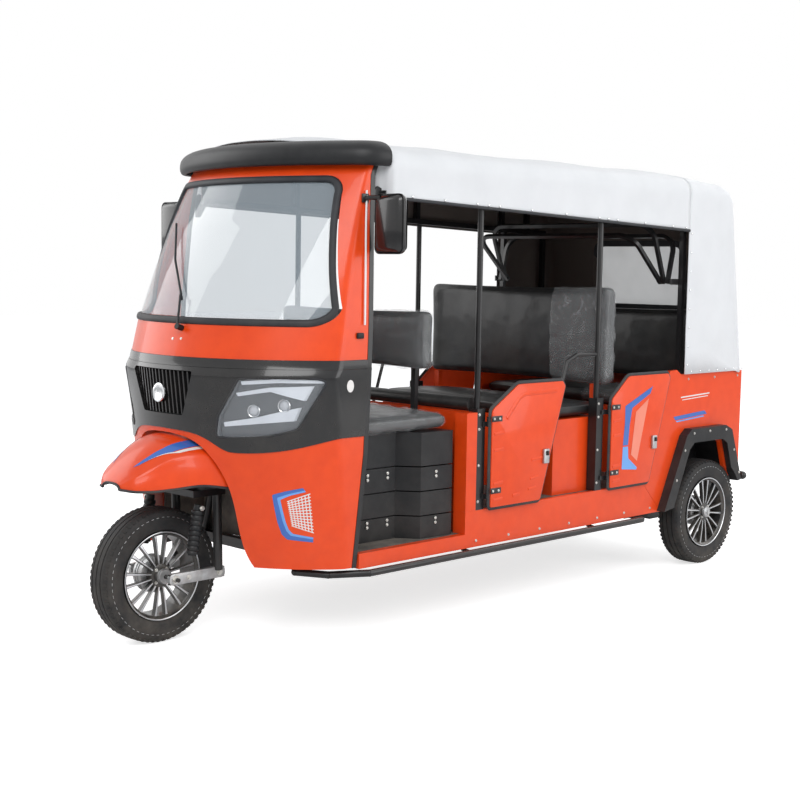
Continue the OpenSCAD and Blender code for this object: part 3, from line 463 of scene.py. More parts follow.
def cabCurve(z, off, rear=None, fine=56):
    _, y0, r, hw, rc, re = cabLevel(z)
    re = re if rear is None else rear
    cy, cx = y0 + r, hw - rc
    ky = cy - math.sqrt((r - rc) ** 2 - cx * cx)
    turn = math.atan2(cy - ky, cx)
    pts = [(-(hw + off), re), (-(hw + off), ky + (re - ky) * 0.5)]
    for i in range(9):
        a = math.pi + turn * i / 8
        pts.append((-cx + (rc + off) * math.cos(a), ky + (rc + off) * math.sin(a)))
    for i in range(1, fine):
        a = math.pi + turn + (math.pi - 2 * turn) * i / fine
        pts.append(((r + off) * math.cos(a), cy + (r + off) * math.sin(a)))
    for i in range(8, -1, -1):
        a = -turn * i / 8
        pts.append((cx + (rc + off) * math.cos(a), ky + (rc + off) * math.sin(a)))
    return pts + [(hw + off, ky + (re - ky) * 0.5), (hw + off, re)]


def cabDistance(x, y, z):
    _, y0, r, hw, rc, _ = cabLevel(z)
    cy, cx = y0 + r, hw - rc
    ky = cy - math.sqrt((r - rc) ** 2 - cx * cx)
    ax = abs(x)
    if y >= ky:
        return ax - hw
    if ax > cx and (ax - cx) * (cy - ky) > 0 and math.atan2(ky - y, ax - cx) < math.atan2(cy - ky, cx):
        return math.hypot(ax - cx, y - ky) - rc
    return math.hypot(ax, y - cy) - r


def cabNormal(p):
    x, y, z = p
    e = 1.5
    g = Vector((cabDistance(x + e, y, z) - cabDistance(x - e, y, z), cabDistance(x, y + e, z) - cabDistance(x, y - e,
            z),
                (cabDistance(x, y, z + 9) - cabDistance(x, y, z - 9)) / 6))
    return g.normalized()


def onCab(x, z, off=0.8):
    # the point of the cab surface seen straight from the front at x and z
    lo, hi = -200.0, 560.0
    for _ in range(34):
        mid = (lo + hi) / 2
        if cabDistance(x, mid, z) > off:
            lo = mid
        else:
            hi = mid
    return (x, (lo + hi) / 2, z)


def cabWall(name, outer, inner, z0, z1, steps, rearTo=None, fine=56):
    # closed wall between two offsets from the cab surface; levels fall on the table's own heights too
    zs = sorted({round(z0 + (z1 - z0) * i / steps,
            2) for i in range(steps + 1)} | {l[0] for l in cabLevels if z0 < l[0] < z1})
    rings = []
    for z in zs:
        o = cabCurve(z, outer, rearTo, fine)
        n = cabCurve(z, inner, rearTo, fine)
        rings.append([(x, y, z) for x, y in o] + [(x, y, z) for x, y in reversed(n)])
    n = len(rings[0])
    verts = [at(*p) for r in rings for p in r]
    faces = []
    for k in range(len(rings) - 1):
        for i in range(n):
            j = (i + 1) % n
            faces.append((k * n + i, k * n + j, (k + 1) * n + j, (k + 1) * n + i))
    for base, flip in ((0, True), ((len(rings) - 1) * n, False)):
        for i in range(n // 2 - 1):
            f = (base + i, base + i + 1, base + n - 2 - i, base + n - 1 - i)
            faces.append(tuple(reversed(f)) if flip else f)
    return solidOf(name, verts, faces)


def solidOf(name, verts, faces):
    me = bpy.data.meshes.new(name)
    me.from_pydata([tuple(v) for v in verts], [], faces)
    bm = bmesh.new()
    bm.from_mesh(me)
    bmesh.ops.remove_doubles(bm, verts=bm.verts, dist=1e-6)
    bmesh.ops.recalc_face_normals(bm, faces=bm.faces)
    bm.to_mesh(me)
    bm.free()
    o = bpy.data.objects.new(name, me)
    scene.collection.objects.link(o)
    return o


def prism(name, outline, y0, y1):
    # an outline of x and z carried along the length, as a cutter
    n = len(outline)
    verts = [at(x, y0, z) for x, z in outline] + [at(x, y1, z) for x, z in outline]
    faces = [tuple(range(n - 1, -1, -1)), tuple(range(n, 2 * n))]
    faces += [(i, (i + 1) % n, n + (i + 1) % n, n + i) for i in range(n)]
    return solidOf(name, verts, faces)


def cut(piece, tools, operation="DIFFERENCE"):
    for tool in tools:
        m = piece.modifiers.new("cut", "BOOLEAN")
        m.operation = operation
        m.solver = "EXACT"
        m.object = tool
        dg = bpy.context.evaluated_depsgraph_get()
        new = bpy.data.meshes.new_from_object(piece.evaluated_get(dg))
        piece.modifiers.remove(m)
        old = piece.data
        piece.data = new
        bpy.data.meshes.remove(old)
        bpy.data.objects.remove(tool)


def dressCab(o, name, mats, nodes, body="chassis", sharp=0.35):
    # smooth normals taken from the cab surface itself, so the cuts leave no shading marks
    me = o.data
    me.name = o.name = name
    me.materials.clear()
    for m in mats if isinstance(mats, list) else [mats]:
        me.materials.append(m)
    for p in me.polygons:
        p.use_smooth = True
        p.material_index = 0
    normals = []
    for p in me.polygons:
        for li in p.loop_indices:
            v = me.vertices[me.loops[li].vertex_index].co
            n = cabNormal((v.x * 1000, v.y * 1000 + 1490, v.z * 1000))
            d = n.dot(p.normal)
            normals.append(n if d > 1 - sharp else (-n if d < sharp - 1 else p.normal))
    me.normals_split_custom_set([tuple(n) for n in normals])
    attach(o, body)
    if nodes:
        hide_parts(*nodes)
    return o


def mirrored(points):
    return points + [(-x, z) for x, z in reversed(points) if x != 0]


def roundedPath(points, r, steps=6):
    # a closed outline with its corners rounded
    out = []
    n = len(points)
    for i in range(n):
        a, b, c = Vector(points[i - 1]), Vector(points[i]), Vector(points[(i + 1) % n])
        u, v = (a - b).normalized(), (c - b).normalized()
        ang = math.acos(max(-1, min(1, u.dot(v))))
        rr = r[i] if isinstance(r, (list, tuple)) else r
        cutLen = min(rr / math.tan(ang / 2), (a - b).length * 0.45, (c - b).length * 0.45)
        p0, p1 = b + u * cutLen, b + v * cutLen
        for k in range(steps + 1):
            t = k / steps
            q = p0 * (1 - t) ** 2 + b * 2 * t * (1 - t) + p1 * t ** 2
            out.append((q.x, q.y))
    return out


def screenOutline(inset):
    pts = []
    for s, cx, cz, a0 in ((1, 518, 1294, -90), (1, 436, 1714, 0), (-1, 436, 1714, 90), (-1, 518, 1294, 180)):
        for i in range(13):
            a = math.radians(a0 + 90 * i / 12)
            pts.append((s * cx + (72 - inset) * math.cos(a), cz + (72 - inset) * math.sin(a)))
    return pts


panelLow = [(0, 824), (150, 820), (222, 800), (292, 756), (330, 750), (436, 755), (534, 778), (660, 838)]
lampShape = [(364, 1030), (596, 1034), (518, 843), (440, 818), (262, 805), (278, 884)]
grilleShape = [(-190, 1050), (190, 1050), (124, 880), (-124, 880)]


def smoothed(points, times=2):
    # corner cutting on an open run of points
    for _ in range(times):
        out = [points[0]]
        for a, b in zip(points, points[1:]):
            out.append((a[0] * 0.75 + b[0] * 0.25, a[1] * 0.75 + b[1] * 0.25))
            out.append((a[0] * 0.25 + b[0] * 0.75, a[1] * 0.25 + b[1] * 0.75))
        points = out + [points[-1]]
    return points


lowShell = cabWall("lowerShell", 0, -16, 309, 1066, 40)
panelCut = mirrored(smoothed(panelLow) + [(660, 1090)])
archCut = mirrored([(0, 808)] + smoothed([(60, 806), (140, 796), (206, 762), (262, 690), (298, 590), (306, 420), (320,
        350), (350, 290)]) + [(350, 200)])
cut(lowShell, [prism("t1", panelCut, -300, 800), prism("t2", archCut, -300, 455)])
dressCab(lowShell, "lowerShellSkin", mat["orangePaint"], ["lower_shell"])

topShell = cabWall("topShell", 0, -16, 1100, 1845, 40)
cut(topShell, [prism("t3", screenOutline(-0.5), -300, 900)])
dressCab(topShell, "upperShellSkin", mat["orangePaint"], ["cab_shell"])

belt = cabWall("belt", 3, -14, 1066.5, 1099.5, 4)
dressCab(belt, "beltStripSkin", mat["glossBlack"], ["belt_strip"])

panel = cabWall("panel", 4, -16, 744, 1065.5, 30)
lampR = roundedPath(lampShape, [16, 22, 30, 40, 18, 30])
lampL = [(-x, z) for x, z in reversed(lampR)]
cut(panel, [prism("t4", mirrored(smoothed(panelLow) + [(660, 1090)]), -300, 800)], "INTERSECT")
cut(panel, [prism("t5", lampR, -300, 800), prism("t6", lampL, -300, 800), prism("t7", roundedPath(grilleShape, 14),
        -300, 300)])
dressCab(panel, "frontPanelSkin", mat["glossBlack"], ["front_panel"])

glass = cabWall("glass", -4, -9, 1230, 1780, 24)
cut(glass, [prism("t8", screenOutline(27), -300, 900)], "INTERSECT")
dressCab(glass, "windscreenPane", mat["screenGlass"], ["windscreen"])


print("stage: hood")
hood = {
    "half": 611, "top": 1964, "crown": 2300, "corner": 80, "wallCrown": 9000, "wallCorner": 46, "front": 654, "split": 2644,
    "drop": 7.5, "eave": 1724, "slope": 1.78, "low": 956, "hoops": (654, 1198, 2000, 2650), "sag": 9, "thick": 3.2,
}


def gridMesh(name, rows, mats, closed=False):
    # a sheet from rows of points, each row across and the rows one behind the other
    n = len(rows[0])
    verts = [at(*p) for r in rows for p in r]
    faces = []
    for k in range(len(rows) - 1):
        for i in range(n if closed else n - 1):
            j = (i + 1) % n
            faces.append((k * n + i, k * n + j, (k + 1) * n + j, (k + 1) * n + i))
    return meshPiece(name, verts, faces, None, mats)


def finishMesh(o, angle=None):
    bm = bmesh.new()
    bm.from_mesh(o.data)
    bmesh.ops.remove_doubles(bm, verts=bm.verts, dist=2e-5)
    bmesh.ops.recalc_face_normals(bm, faces=bm.faces)
    bm.to_mesh(o.data)
    bm.free()
    for p in o.data.polygons:
        p.use_smooth = True
    if angle is not None:
        o.data.set_sharp_from_angle(angle=math.radians(angle))
    return o


def bake(o):
    # the modifiers' result becomes the mesh
    dg = bpy.context.evaluated_depsgraph_get()
    new = bpy.data.meshes.new_from_object(o.evaluated_get(dg), preserve_all_data_layers=True, depsgraph=dg)
    o.modifiers.clear()
    old = o.data
    o.data = new
    bpy.data.meshes.remove(old)
    return o


def hoodSpan(crown, corner, count=12, bend=7):
    # right half of the section from the centre line outwards: distance out and drop below the crown
    cx = hood["half"] - corner
    cz = math.sqrt((crown - corner) ** 2 - cx * cx) - crown
    lean = math.atan2(cx, cz + crown)
    tx = cx + corner * math.sin(lean)
    out = [(tx * i / count, crown - math.sqrt(crown ** 2 - (tx * i / count) ** 2)) for i in range(count)]
    for i in range(bend + 1):
        a = lean + (math.pi / 2 - lean) * i / bend
        out.append((cx + corner * math.sin(a), -(cz + corner * math.cos(a))))
    return out


def hoopSag(y):
    hoops = hood["hoops"]
    for a, b in zip(hoops, hoops[1:]):
        if a <= y <= b:
            return math.sin(math.pi * (y - a) / (b - a)) ** 0.8 * min(1, (b - a) / 700)
    return 0


def creases(x, y, z):
    # shallow wrinkles, in mm, that only ever go inwards
    p = Vector((x / 230, y / 420, z / 210))
    q = Vector((x / 60, (y + z) / 85, z / 70))
    return 1.7 * (noise.noise(p) - 0.6) + 0.7 * (noise.noise(q) - 0.5)


def roofRows():
    span = hoodSpan(hood["crown"], hood["corner"])
    right = span + [(hood["half"], None, k) for k in range(1, 8)]
    level = [0, 402, 900, 552, 90, 646]
    cy, cx = level[1] + level[2], level[3] - level[4]
    rows = []
    ys = [(-k, None) for k in range(8, 0, -1)] + [(0, y) for y in np.linspace(hood["front"], hood["split"], 82)]
    for k, y in ys:
        row = []
        for side in (-1, 1):
            half = []
            for e in right:
                x = e[0]
                if y is None:
                    # columns of the part that drops towards the visor
                    xx = min(x, 520)
                    if xx < cx * 0.94:
                        yf = cy - math.sqrt((level[2] - 30) ** 2 - xx * xx)
                    else:
                        yf = 560 + (xx - 434) * 0.5
                    yf = min(yf, hood["front"] - 14)
                    t = (k + 8) / 8
                    yy = yf + (hood["front"] - yf) * t
                    xo = x - (x - xx) * (1 - t) ** 0.5
                    dz = (hood["front"] - yy) * math.tan(math.radians(hood["drop"]))
                else:
                    yy, xo, dz = y, x, 0
                sag = hood["sag"] * hoopSag(yy)
                low = hood["eave"] - yy * math.tan(math.radians(hood["slope"]))
                if e[1] is not None:
                    weight = 1 - (x / hood["half"]) ** 3
                    z = hood["top"] - e[1] - dz - sag * weight + creases(side * x, yy, 0)
                    row2 = (side * (xo + min(0, creases(side * x, yy, 0)) * (x / 612) ** 4), yy, z)
                else:
                    top = hood["top"] - span[-1][1]
                    t2 = e[2] / 7
                    z = top + (low - top) * t2 - dz * (1 - t2)
                    inward = sag * 0.5 * math.sin(math.pi * min(t2, 0.9)) + creases(side * 900, yy, z) * -1
                    row2 = (side * (xo - max(0, inward)), yy, z)
                half.append(row2)
            row.append(half)
        rows.append(list(reversed(row[0])) + row[1][1:])
    return rows


def dressSheet(o, node):
    o.data.materials.clear()
    o.data.materials.append(mat["hoodCanvas"])
    o.data.materials.append(mat["hoodLining"])
    finishMesh(o)
    up = sum((p.normal.z * p.area for p in o.data.polygons if abs(p.center.x) < 0.4), 0)
    if up < 0:
        o.data.flip_normals()
    m = o.modifiers.new("thickness", "SOLIDIFY")
    m.thickness = hood["thick"] / 1000
    m.offset = -1
    m.material_offset = 1
    bake(o)
    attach(o, "chassis")
    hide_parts(node)


def runLength(points):
    return sum((at(*b) - at(*a)).length for a, b in zip(points, points[1:]))


def sheetSize(rows, keep=None):
    across = max(runLength(r) for r in rows)
    along = max(runLength([r[i] for r in rows]) for i in range(len(rows[0])))
    area = 0
    for k in range(len(rows) - 1):
        for i in range(len(rows[0]) - 1):
            if keep and not keep(rows[k][i], rows[k + 1][i + 1]):
                continue
            a, b, c, d = (at(*rows[k + u][i + v]) for u, v in ((0, 0), (0, 1), (1, 1), (1, 0)))
            area += ((c - a).cross(d - b)).length / 2
    return (round(across, 3), round(along, 3)), area


roofGrid = roofRows()
flat, area = sheetSize(roofGrid)
roofSheet = gridMesh("roofSheet", roofGrid, mat["hoodCanvas"])
dressSheet(roofSheet, "canvas_roof")

window = {"half": 270, "low": 1270, "high": 1586, "corner": 50}


def tailProfile():
    # outer line of the rear of the hood: place, direction outwards, crown and corner of the section there
    out = []
    for i in range(10):
        y = hood["split"] + 1 + (2880 - hood["split"]) * i / 10
        t = i / 10
        out.append((y, 1964 - 15 * t * t, 0, 1, hood["crown"], hood["corner"]))
    steps = 12
    for i in range(steps + 1):
        a = math.radians(90 - (90 - 8.26) * i / steps)
        t = i / steps
        t = t * t * (3 - 2 * t)
        crown = 1 / ((1 - t) / hood["crown"] + t / hood["wallCrown"])
        out.append((2880 + 189 * math.cos(a), 1760 + 189 * math.sin(a), math.cos(a), math.sin(a), crown,
                    hood["corner"] + (hood["wallCorner"] - hood["corner"]) * t))
    a = math.radians(8.26)
    top, foot = (3067, 1787), (3188.6, hood["low"])
    zs = sorted({round(z, 1) for z in np.linspace(top[1], foot[1], 26)} | {window["low"], window["high"]},
            reverse=True)
    for z in zs[1:]:
        t = (top[1] - z) / (top[1] - foot[1])
        out.append((top[0] + (foot[0] - top[0]) * t, z, math.cos(a), math.sin(a), hood["wallCrown"],
                hood["wallCorner"]))
    return out


def tailSpan(crown, corner, blend):
    # the columns slide onto the window's sides where the wall starts
    span = hoodSpan(crown, corner)
    fixed = [0, 54, 108, 162, 216, 270, 320, 370, 420, 465, 505, 540]
    out = []
    for i, (x, d) in enumerate(span):
        if i < len(fixed):
            x = x + (min(fixed[i], span[12][0] - 4 * (12 - i)) - x) * blend
            d = crown - math.sqrt(crown ** 2 - x * x)
        out.append((x, d))
    return out


def tailRows():
    prof = tailProfile()
    rows = []
    last = prof[-1]
    for k, (y, z, ny, nz, crown, corner) in enumerate(prof):
        blend = min(1, max(0, (k - 8) / 10))
        span = tailSpan(crown, corner, blend)
        t = k / (len(prof) - 1)
        row = []
        for side in (-1, 1):
            half = []
            ed = span[-1][1]
            ey, ez = y - ny * ed, z - nz * ed
            for x, d in span:
                w = creases(side * x + 40, y, z) * 1.3
                bulge = 7 * math.sin(math.pi * min(1, max(0,
                        (1790 - z) / 830))) * (1 - (x / 612) ** 2) if nz < 0.3 else 0
                dd = d - w + bulge
                half.append((side * x, y - ny * dd, z - nz * dd))
            qy = 2644 + (2770 - 2644) * min(1,
                    t * 3.2) if t < 0.3125 else 2770 + (last[0] - 90 - 2770) * (t - 0.3125) / 0.6875
            for j in range(1, 9):
                s = j / 8
                py, pz = ey + (qy - ey) * s, ez + (hood["low"] - ez) * s
                inward = 7 * math.sin(math.pi * min(1, max(0, (py - 2660) / 520))) * math.sin(math.pi * min(1, max(0,
                        (pz - 940) / 880)))
                half.append((side * (hood["half"] - max(0, inward - creases(side * 700, py, pz) * 1.4)), py, pz))
            row.append(half)
        rows.append(list(reversed(row[0])) + row[1][1:])
    return rows


tailGrid = tailRows()


def outsideWindow(a, b):
    x, z = (a[0] + b[0]) / 2, (a[2] + b[2]) / 2
    return not (abs(x) < window["half"] and window["low"] < z < window["high"] and a[1] > 2950)


flat, area = sheetSize(tailGrid, outsideWindow)
tailSheet = gridMesh("rearSheet", tailGrid, mat["hoodCanvas"])
bm = bmesh.new()
bm.from_mesh(tailSheet.data)
holes = [f for f in bm.faces if abs(f.calc_center_median().x) < 0.27 and 1.27 < f.calc_center_median().z < 1.586 and f.calc_center_median().y > 1.46]
bmesh.ops.delete(bm, geom=holes, context="FACES")
bm.to_mesh(tailSheet.data)
bm.free()
dressSheet(tailSheet, "canvas_rear")


def onTail(x, z, off=0.0):
    # the rear wall of the hood at a place given from behind
    t = (1787 - z) / (1787 - hood["low"])
    y = 3067 + (3188.6 - 3067) * t
    c = hood["wallCrown"]
    bulge = 7 * math.sin(math.pi * min(1, max(0, (1790 - z) / 830))) * (1 - (x / 612) ** 2)
    d = c - math.sqrt(c * c - x * x) + bulge - off + 1.5
    a = math.radians(8.26)
    return (x, y - math.cos(a) * d, z - math.sin(a) * d)


def ringStrip(name, outer, inner, place, mats, body, lift=2.0, back=-3.0):
    # a flat closed band between two outlines, with a little thickness
    rows = [[place(x, z, back) for x, z in outer], [place(x, z, lift) for x, z in outer],
            [place(x, z, lift) for x, z in inner], [place(x, z, back) for x, z in inner]]
    rows.append(rows[0])
    o = gridMesh(name, rows, mats, closed=True)
    finishMesh(o, 40)
    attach(o, body)
    return o


def rectOutline(half, low, high, r, steps=6):
    return roundedPath([(-half, low), (half, low), (half, high), (-half, high)], r, steps)


w = window
ringStrip("rearWindowBand", rectOutline(w["half"] + 26, w["low"] - 26, w["high"] + 26, 70), rectOutline(w["half"] - 5,
        w["low"] + 5, w["high"] - 5, 46),
          onTail, mat["sealRubber"], "chassis", 3.2, -4.5)
paneRows = [[onTail(x, z, -2.4 + 1.4 * noise.noise(Vector((x / 90, z / 120,
        3)))) for x in np.linspace(-w["half"] - 12, w["half"] + 12, 34)]
            for z in np.linspace(w["low"] - 12, w["high"] + 12, 22)]
pane = gridMesh("rearPaneSheet", paneRows, mat["rearPane"])
m = pane.modifiers.new("thickness", "SOLIDIFY")
m.thickness = 0.0012
bake(finishMesh(pane))
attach(pane, "chassis")
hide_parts("rear_window")


def sweep(name, path, radius, mats, body, closed=False, sides=10, flatten=(1, 1)):
    # a round or oval bar along points given in mm
    pts = [at(*p) for p in path]
    n = len(pts)
    verts, faces = [], []
    ref = Vector((0, 0, 1))
    for i, p in enumerate(pts):
        a = pts[i - 1] if (i or closed) else pts[0]
        b = pts[(i + 1) % n] if (i < n - 1 or closed) else pts[-1]
        d = (b - a).normalized()
        if i == 0:
            u = d.cross(ref if abs(d.z) < 0.9 else Vector((1, 0, 0))).normalized()
        else:
            u = (u - d * u.dot(d)).normalized()
        v = d.cross(u)
        r = (radius[i] if isinstance(radius, (list, tuple)) else radius) / 1000
        for k in range(sides):
            c = 2 * math.pi * k / sides
            verts.append(p + u * (math.cos(c) * r * flatten[0]) + v * (math.sin(c) * r * flatten[1]))
    for i in range(n if closed else n - 1):
        for k in range(sides):
            j, q = (k + 1) % sides, (i + 1) % n
            faces.append((i * sides + k, i * sides + j, q * sides + j, q * sides + k))
    if not closed:
        faces += [tuple(reversed(range(sides))), tuple(range((n - 1) * sides, n * sides))]
    me = bpy.data.meshes.new(name)
    me.from_pydata([tuple(v) for v in verts], [], faces)
    o = bpy.data.objects.new(name, me)
    scene.collection.objects.link(o)
    me.materials.append(mats)
    finishMesh(o, 50)
    if body:
        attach(o, body)
    return o


def joinPieces(name, pieces):
    # several loose pieces become one mesh
    base = pieces[0]
    bm = bmesh.new()
    mats = []
    for o in pieces:
        start = len(bm.faces)
        bm.from_mesh(o.data)
        bm.faces.ensure_lookup_table()
        for m in o.data.materials:
            if m not in mats:
                mats.append(m)
        table = [mats.index(m) for m in o.data.materials]
        for f in bm.faces[start:]:
            f.material_index = table[min(f.material_index, len(table) - 1)]
    me = bpy.data.meshes.new(name)
    bm.to_mesh(me)
    bm.free()
    for m in mats:
        me.materials.append(m)
    for o in pieces[1:]:
        bpy.data.objects.remove(o)
    base.data = me
    base.name = name
    return base


hemRuns = []
for side in (-1, 1):
    col = 0 if side < 0 else len(roofGrid[0]) - 1
    edge = [r[col] for r in roofGrid[8:]]
    hemRuns.append(sweep("hem", [(x + side * 1.2, y, z + 3) for x, y, z in edge], 4.2, mat["sealRubber"], None,
            flatten=(1.0, 1.6)))
    col = 0 if side < 0 else len(tailGrid[0]) - 1
hems = joinPieces("hoodEdgeBinding", hemRuns)
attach(hems, "chassis")

print("stage: visor, mudguard and screen seal")
visorLevel = [1846, 402, 900, 552, 90, 646]
visorSection = [(47, 1824), (55, 1829), (60, 1840), (61.5, 1852), (61, 1866), (57.5, 1880), (49, 1893), (37, 1903),
        (22, 1911), (4, 1917), (-12, 1920),
                (-26, 1919), (-28, 1912), (-20, 1890), (-14, 1850), (28, 1848), (34, 1844), (35, 1828), (40, 1823.5)]


def planRun(level, off, rear, fine=40):
    _, y0, r, hw, rc, _ = level
    cy, cx = y0 + r, hw - rc
    ky = cy - math.sqrt((r - rc) ** 2 - cx * cx)
    turn = math.atan2(cy - ky, cx)
    half = [(hw + off, rear), (hw + off, ky + (rear - ky) * 0.5)]
    for i in range(9):
        a = -turn * i / 8
        half.append((cx + (rc + off) * math.cos(a), ky + (rc + off) * math.sin(a)))
    for i in range(1, fine // 2 + 1):
        a = -turn + (turn - math.pi / 2) * i / (fine // 2)
        half.append(((r + off) * math.cos(a), cy + (r + off) * math.sin(a)))
    return half + [(-x, y) for x, y in reversed(half[:-1])]


runs = [planRun(visorLevel, off, 646) for off, z in visorSection]
rows = [[(runs[j][i][0], runs[j][i][1],
        visorSection[j][1]) for j in range(len(visorSection))] for i in range(len(runs[0]))]
visor = gridMesh("visorShell", rows, mat["mouldedBlack"], closed=True)
bm = bmesh.new()
bm.from_mesh(visor.data)
bmesh.ops.holes_fill(bm, edges=[e for e in bm.edges if e.is_boundary])
bm.to_mesh(visor.data)
bm.free()
finishMesh(visor, 42)
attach(visor, "chassis")
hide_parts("visor")

guardRows = [(-191, 56, 634, 612), (-184, 80, 650, 611), (-160, 118, 682, 608), (-100, 150, 736, 607), (-20, 178, 786,
        612), (60, 226, 802, 622),
             (150, 268, 803, 610), (200, 280, 803, 600)]


def guardRow(t):
    # sections blended along the length, t from 0 at the nose to 1
    p = t * (len(guardRows) - 1)
    k = min(int(p), len(guardRows) - 2)
    f = p - k
    a, b = guardRows[max(k - 1, 0)], guardRows[k]
    c, d = guardRows[k + 1], guardRows[min(k + 2, len(guardRows) - 1)]
    return [0.5 * (2 * b[i] + (c[i] - a[i]) * f + (2 * a[i] - 5 * b[i] + 4 * c[i] - d[i]) * f * f + (3 * b[i] - a[i] - 3 * c[i] + d[i]) * f ** 3)
            for i in range(4)]


def onGuard(t, u, off=0.0):
    # u from -1 at the right lip over the crown to 1 at the left one
    y, hw, top, low = guardRow(t)
    a = math.pi / 2 * (1 - u)
    c, s = math.cos(a), math.sin(a)
    crease = 5.5 * math.exp(-((abs(u) - 0.62) / 0.07) ** 2) * min(1, t * 2.2)
    x = math.copysign(abs(c) ** 0.85, c) * (hw + off)
    z = low + abs(s) ** 0.8 * (top + off - low)
    n = Vector((c * 0.9, 0, s)).normalized()
    return (x + n.x * crease - n.x * 3, y, z + n.z * crease - n.z * 3)


across = [-1 + 2 * i / 56 for i in range(57)]
guardUp = [[onGuard(k / 44, u) for u in across] for k in range(45)]
guardDown = [[onGuard(k / 44, u, -5) for u in across] for k in range(45)]
rows = [a + list(reversed(b)) for a, b in zip(guardUp, guardDown)]
guard = gridMesh("frontMudguard", rows, mat["orangePaint"], closed=True)
n = len(rows[0])
bm = bmesh.new()
bm.from_mesh(guard.data)
bm.verts.ensure_lookup_table()
for base in (0, (len(rows) - 1) * n):
    for i in range(n // 2 - 1):
        bm.faces.new([bm.verts[base + j] for j in (i, i + 1, n - 2 - i, n - 1 - i)])
bm.to_mesh(guard.data)
bm.free()
finishMesh(guard, 40)
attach(guard, "chassis")
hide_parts("mudguard")
lip = [onGuard(k / 44, -1) for k in range(44, 0, -1)] + [onGuard(0, -1 + 2 * i / 16,
        1) for i in range(17)] + [onGuard(k / 44, 1) for k in range(1, 45)]
sweep("mudguardLip", [(x * 1.004, y - (2 if i in range(40, 65) else 0), z - 1) for i, (x, y, z) in enumerate(lip)], 5,
        mat["sealRubber"], "chassis")


def alongCab(outline, off):
    return [onCab(x, z, off) for x, z in outline]


sealSection = [(-13.5, -5), (-13.5, 2.5), (-11, 6), (-6, 8.2), (0, 8.8), (6, 8.2), (11, 6), (13.5, 2.5), (13.5, -5),
        (0, -6)]
outline = []
base = screenOutline(13)
for a, b in zip(base, base[1:] + base[:1]):
    steps = max(1, int(math.hypot(b[0] - a[0], b[1] - a[1]) / 22))
    outline += [(a[0] + (b[0] - a[0]) * k / steps, a[1] + (b[1] - a[1]) * k / steps) for k in range(steps)]
track = [Vector(p) for p in alongCab(outline, 0.0)]
rows = []
for i, p in enumerate(track):
    d = (track[(i + 1) % len(track)] - track[i - 1]).normalized()
    nrm = cabNormal(p)
    nrm = (nrm - d * nrm.dot(d)).normalized()
    b = d.cross(nrm)
    rows.append([tuple(p + b * s + nrm * h) for s, h in sealSection])
rows.append(rows[0])
seal = gridMesh("screenSeal", rows, mat["sealRubber"], closed=True)
finishMesh(seal, 50)
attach(seal, "chassis")
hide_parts("windscreen_seal")

print("stage: cushions")
pads = {
    "driverCushion": {"node": "driver_cushion", "x": (-520, 520), "y": (606, 1078), "z": (790.6, 878.6), "up": "z",
            "crown": 20, "channels": (), "round": 34, "fill": 0.6},
    "driverBackrest": {"node": "driver_back", "x": (-450, 450), "y": (970, 1080), "z": (1034, 1270), "up": "y",
            "crown": 20, "channels": (), "round": 34, "fill": 0.6},
    "middleCushion": {"node": "row1_cushion", "x": (-542, 542), "y": (1720, 2048), "z": (786.6, 874.6), "up": "z",
            "crown": 20, "channels": (), "round": 34, "fill": 0.6},
    "middleBackrest": {"node": "row1_back", "x": (-556, 556), "y": (2052, 2176), "z": (930, 1370), "up": "y",
            "crown": 22, "channels": (), "round": 36, "fill": 0.6},
    "rearCushion": {"node": "row2_cushion", "x": (-542, 542), "y": (2505, 2935), "z": (786.6, 874.6), "up": "z",
            "crown": 20, "channels": (), "round": 34, "fill": 0.6},
    "rearBackrest": {"node": "row2_back", "x": (-542, 542), "y": (2940, 3040), "z": (900, 1260), "up": "y",
            "crown": 18, "channels": (), "round": 32, "fill": 0.6},
}


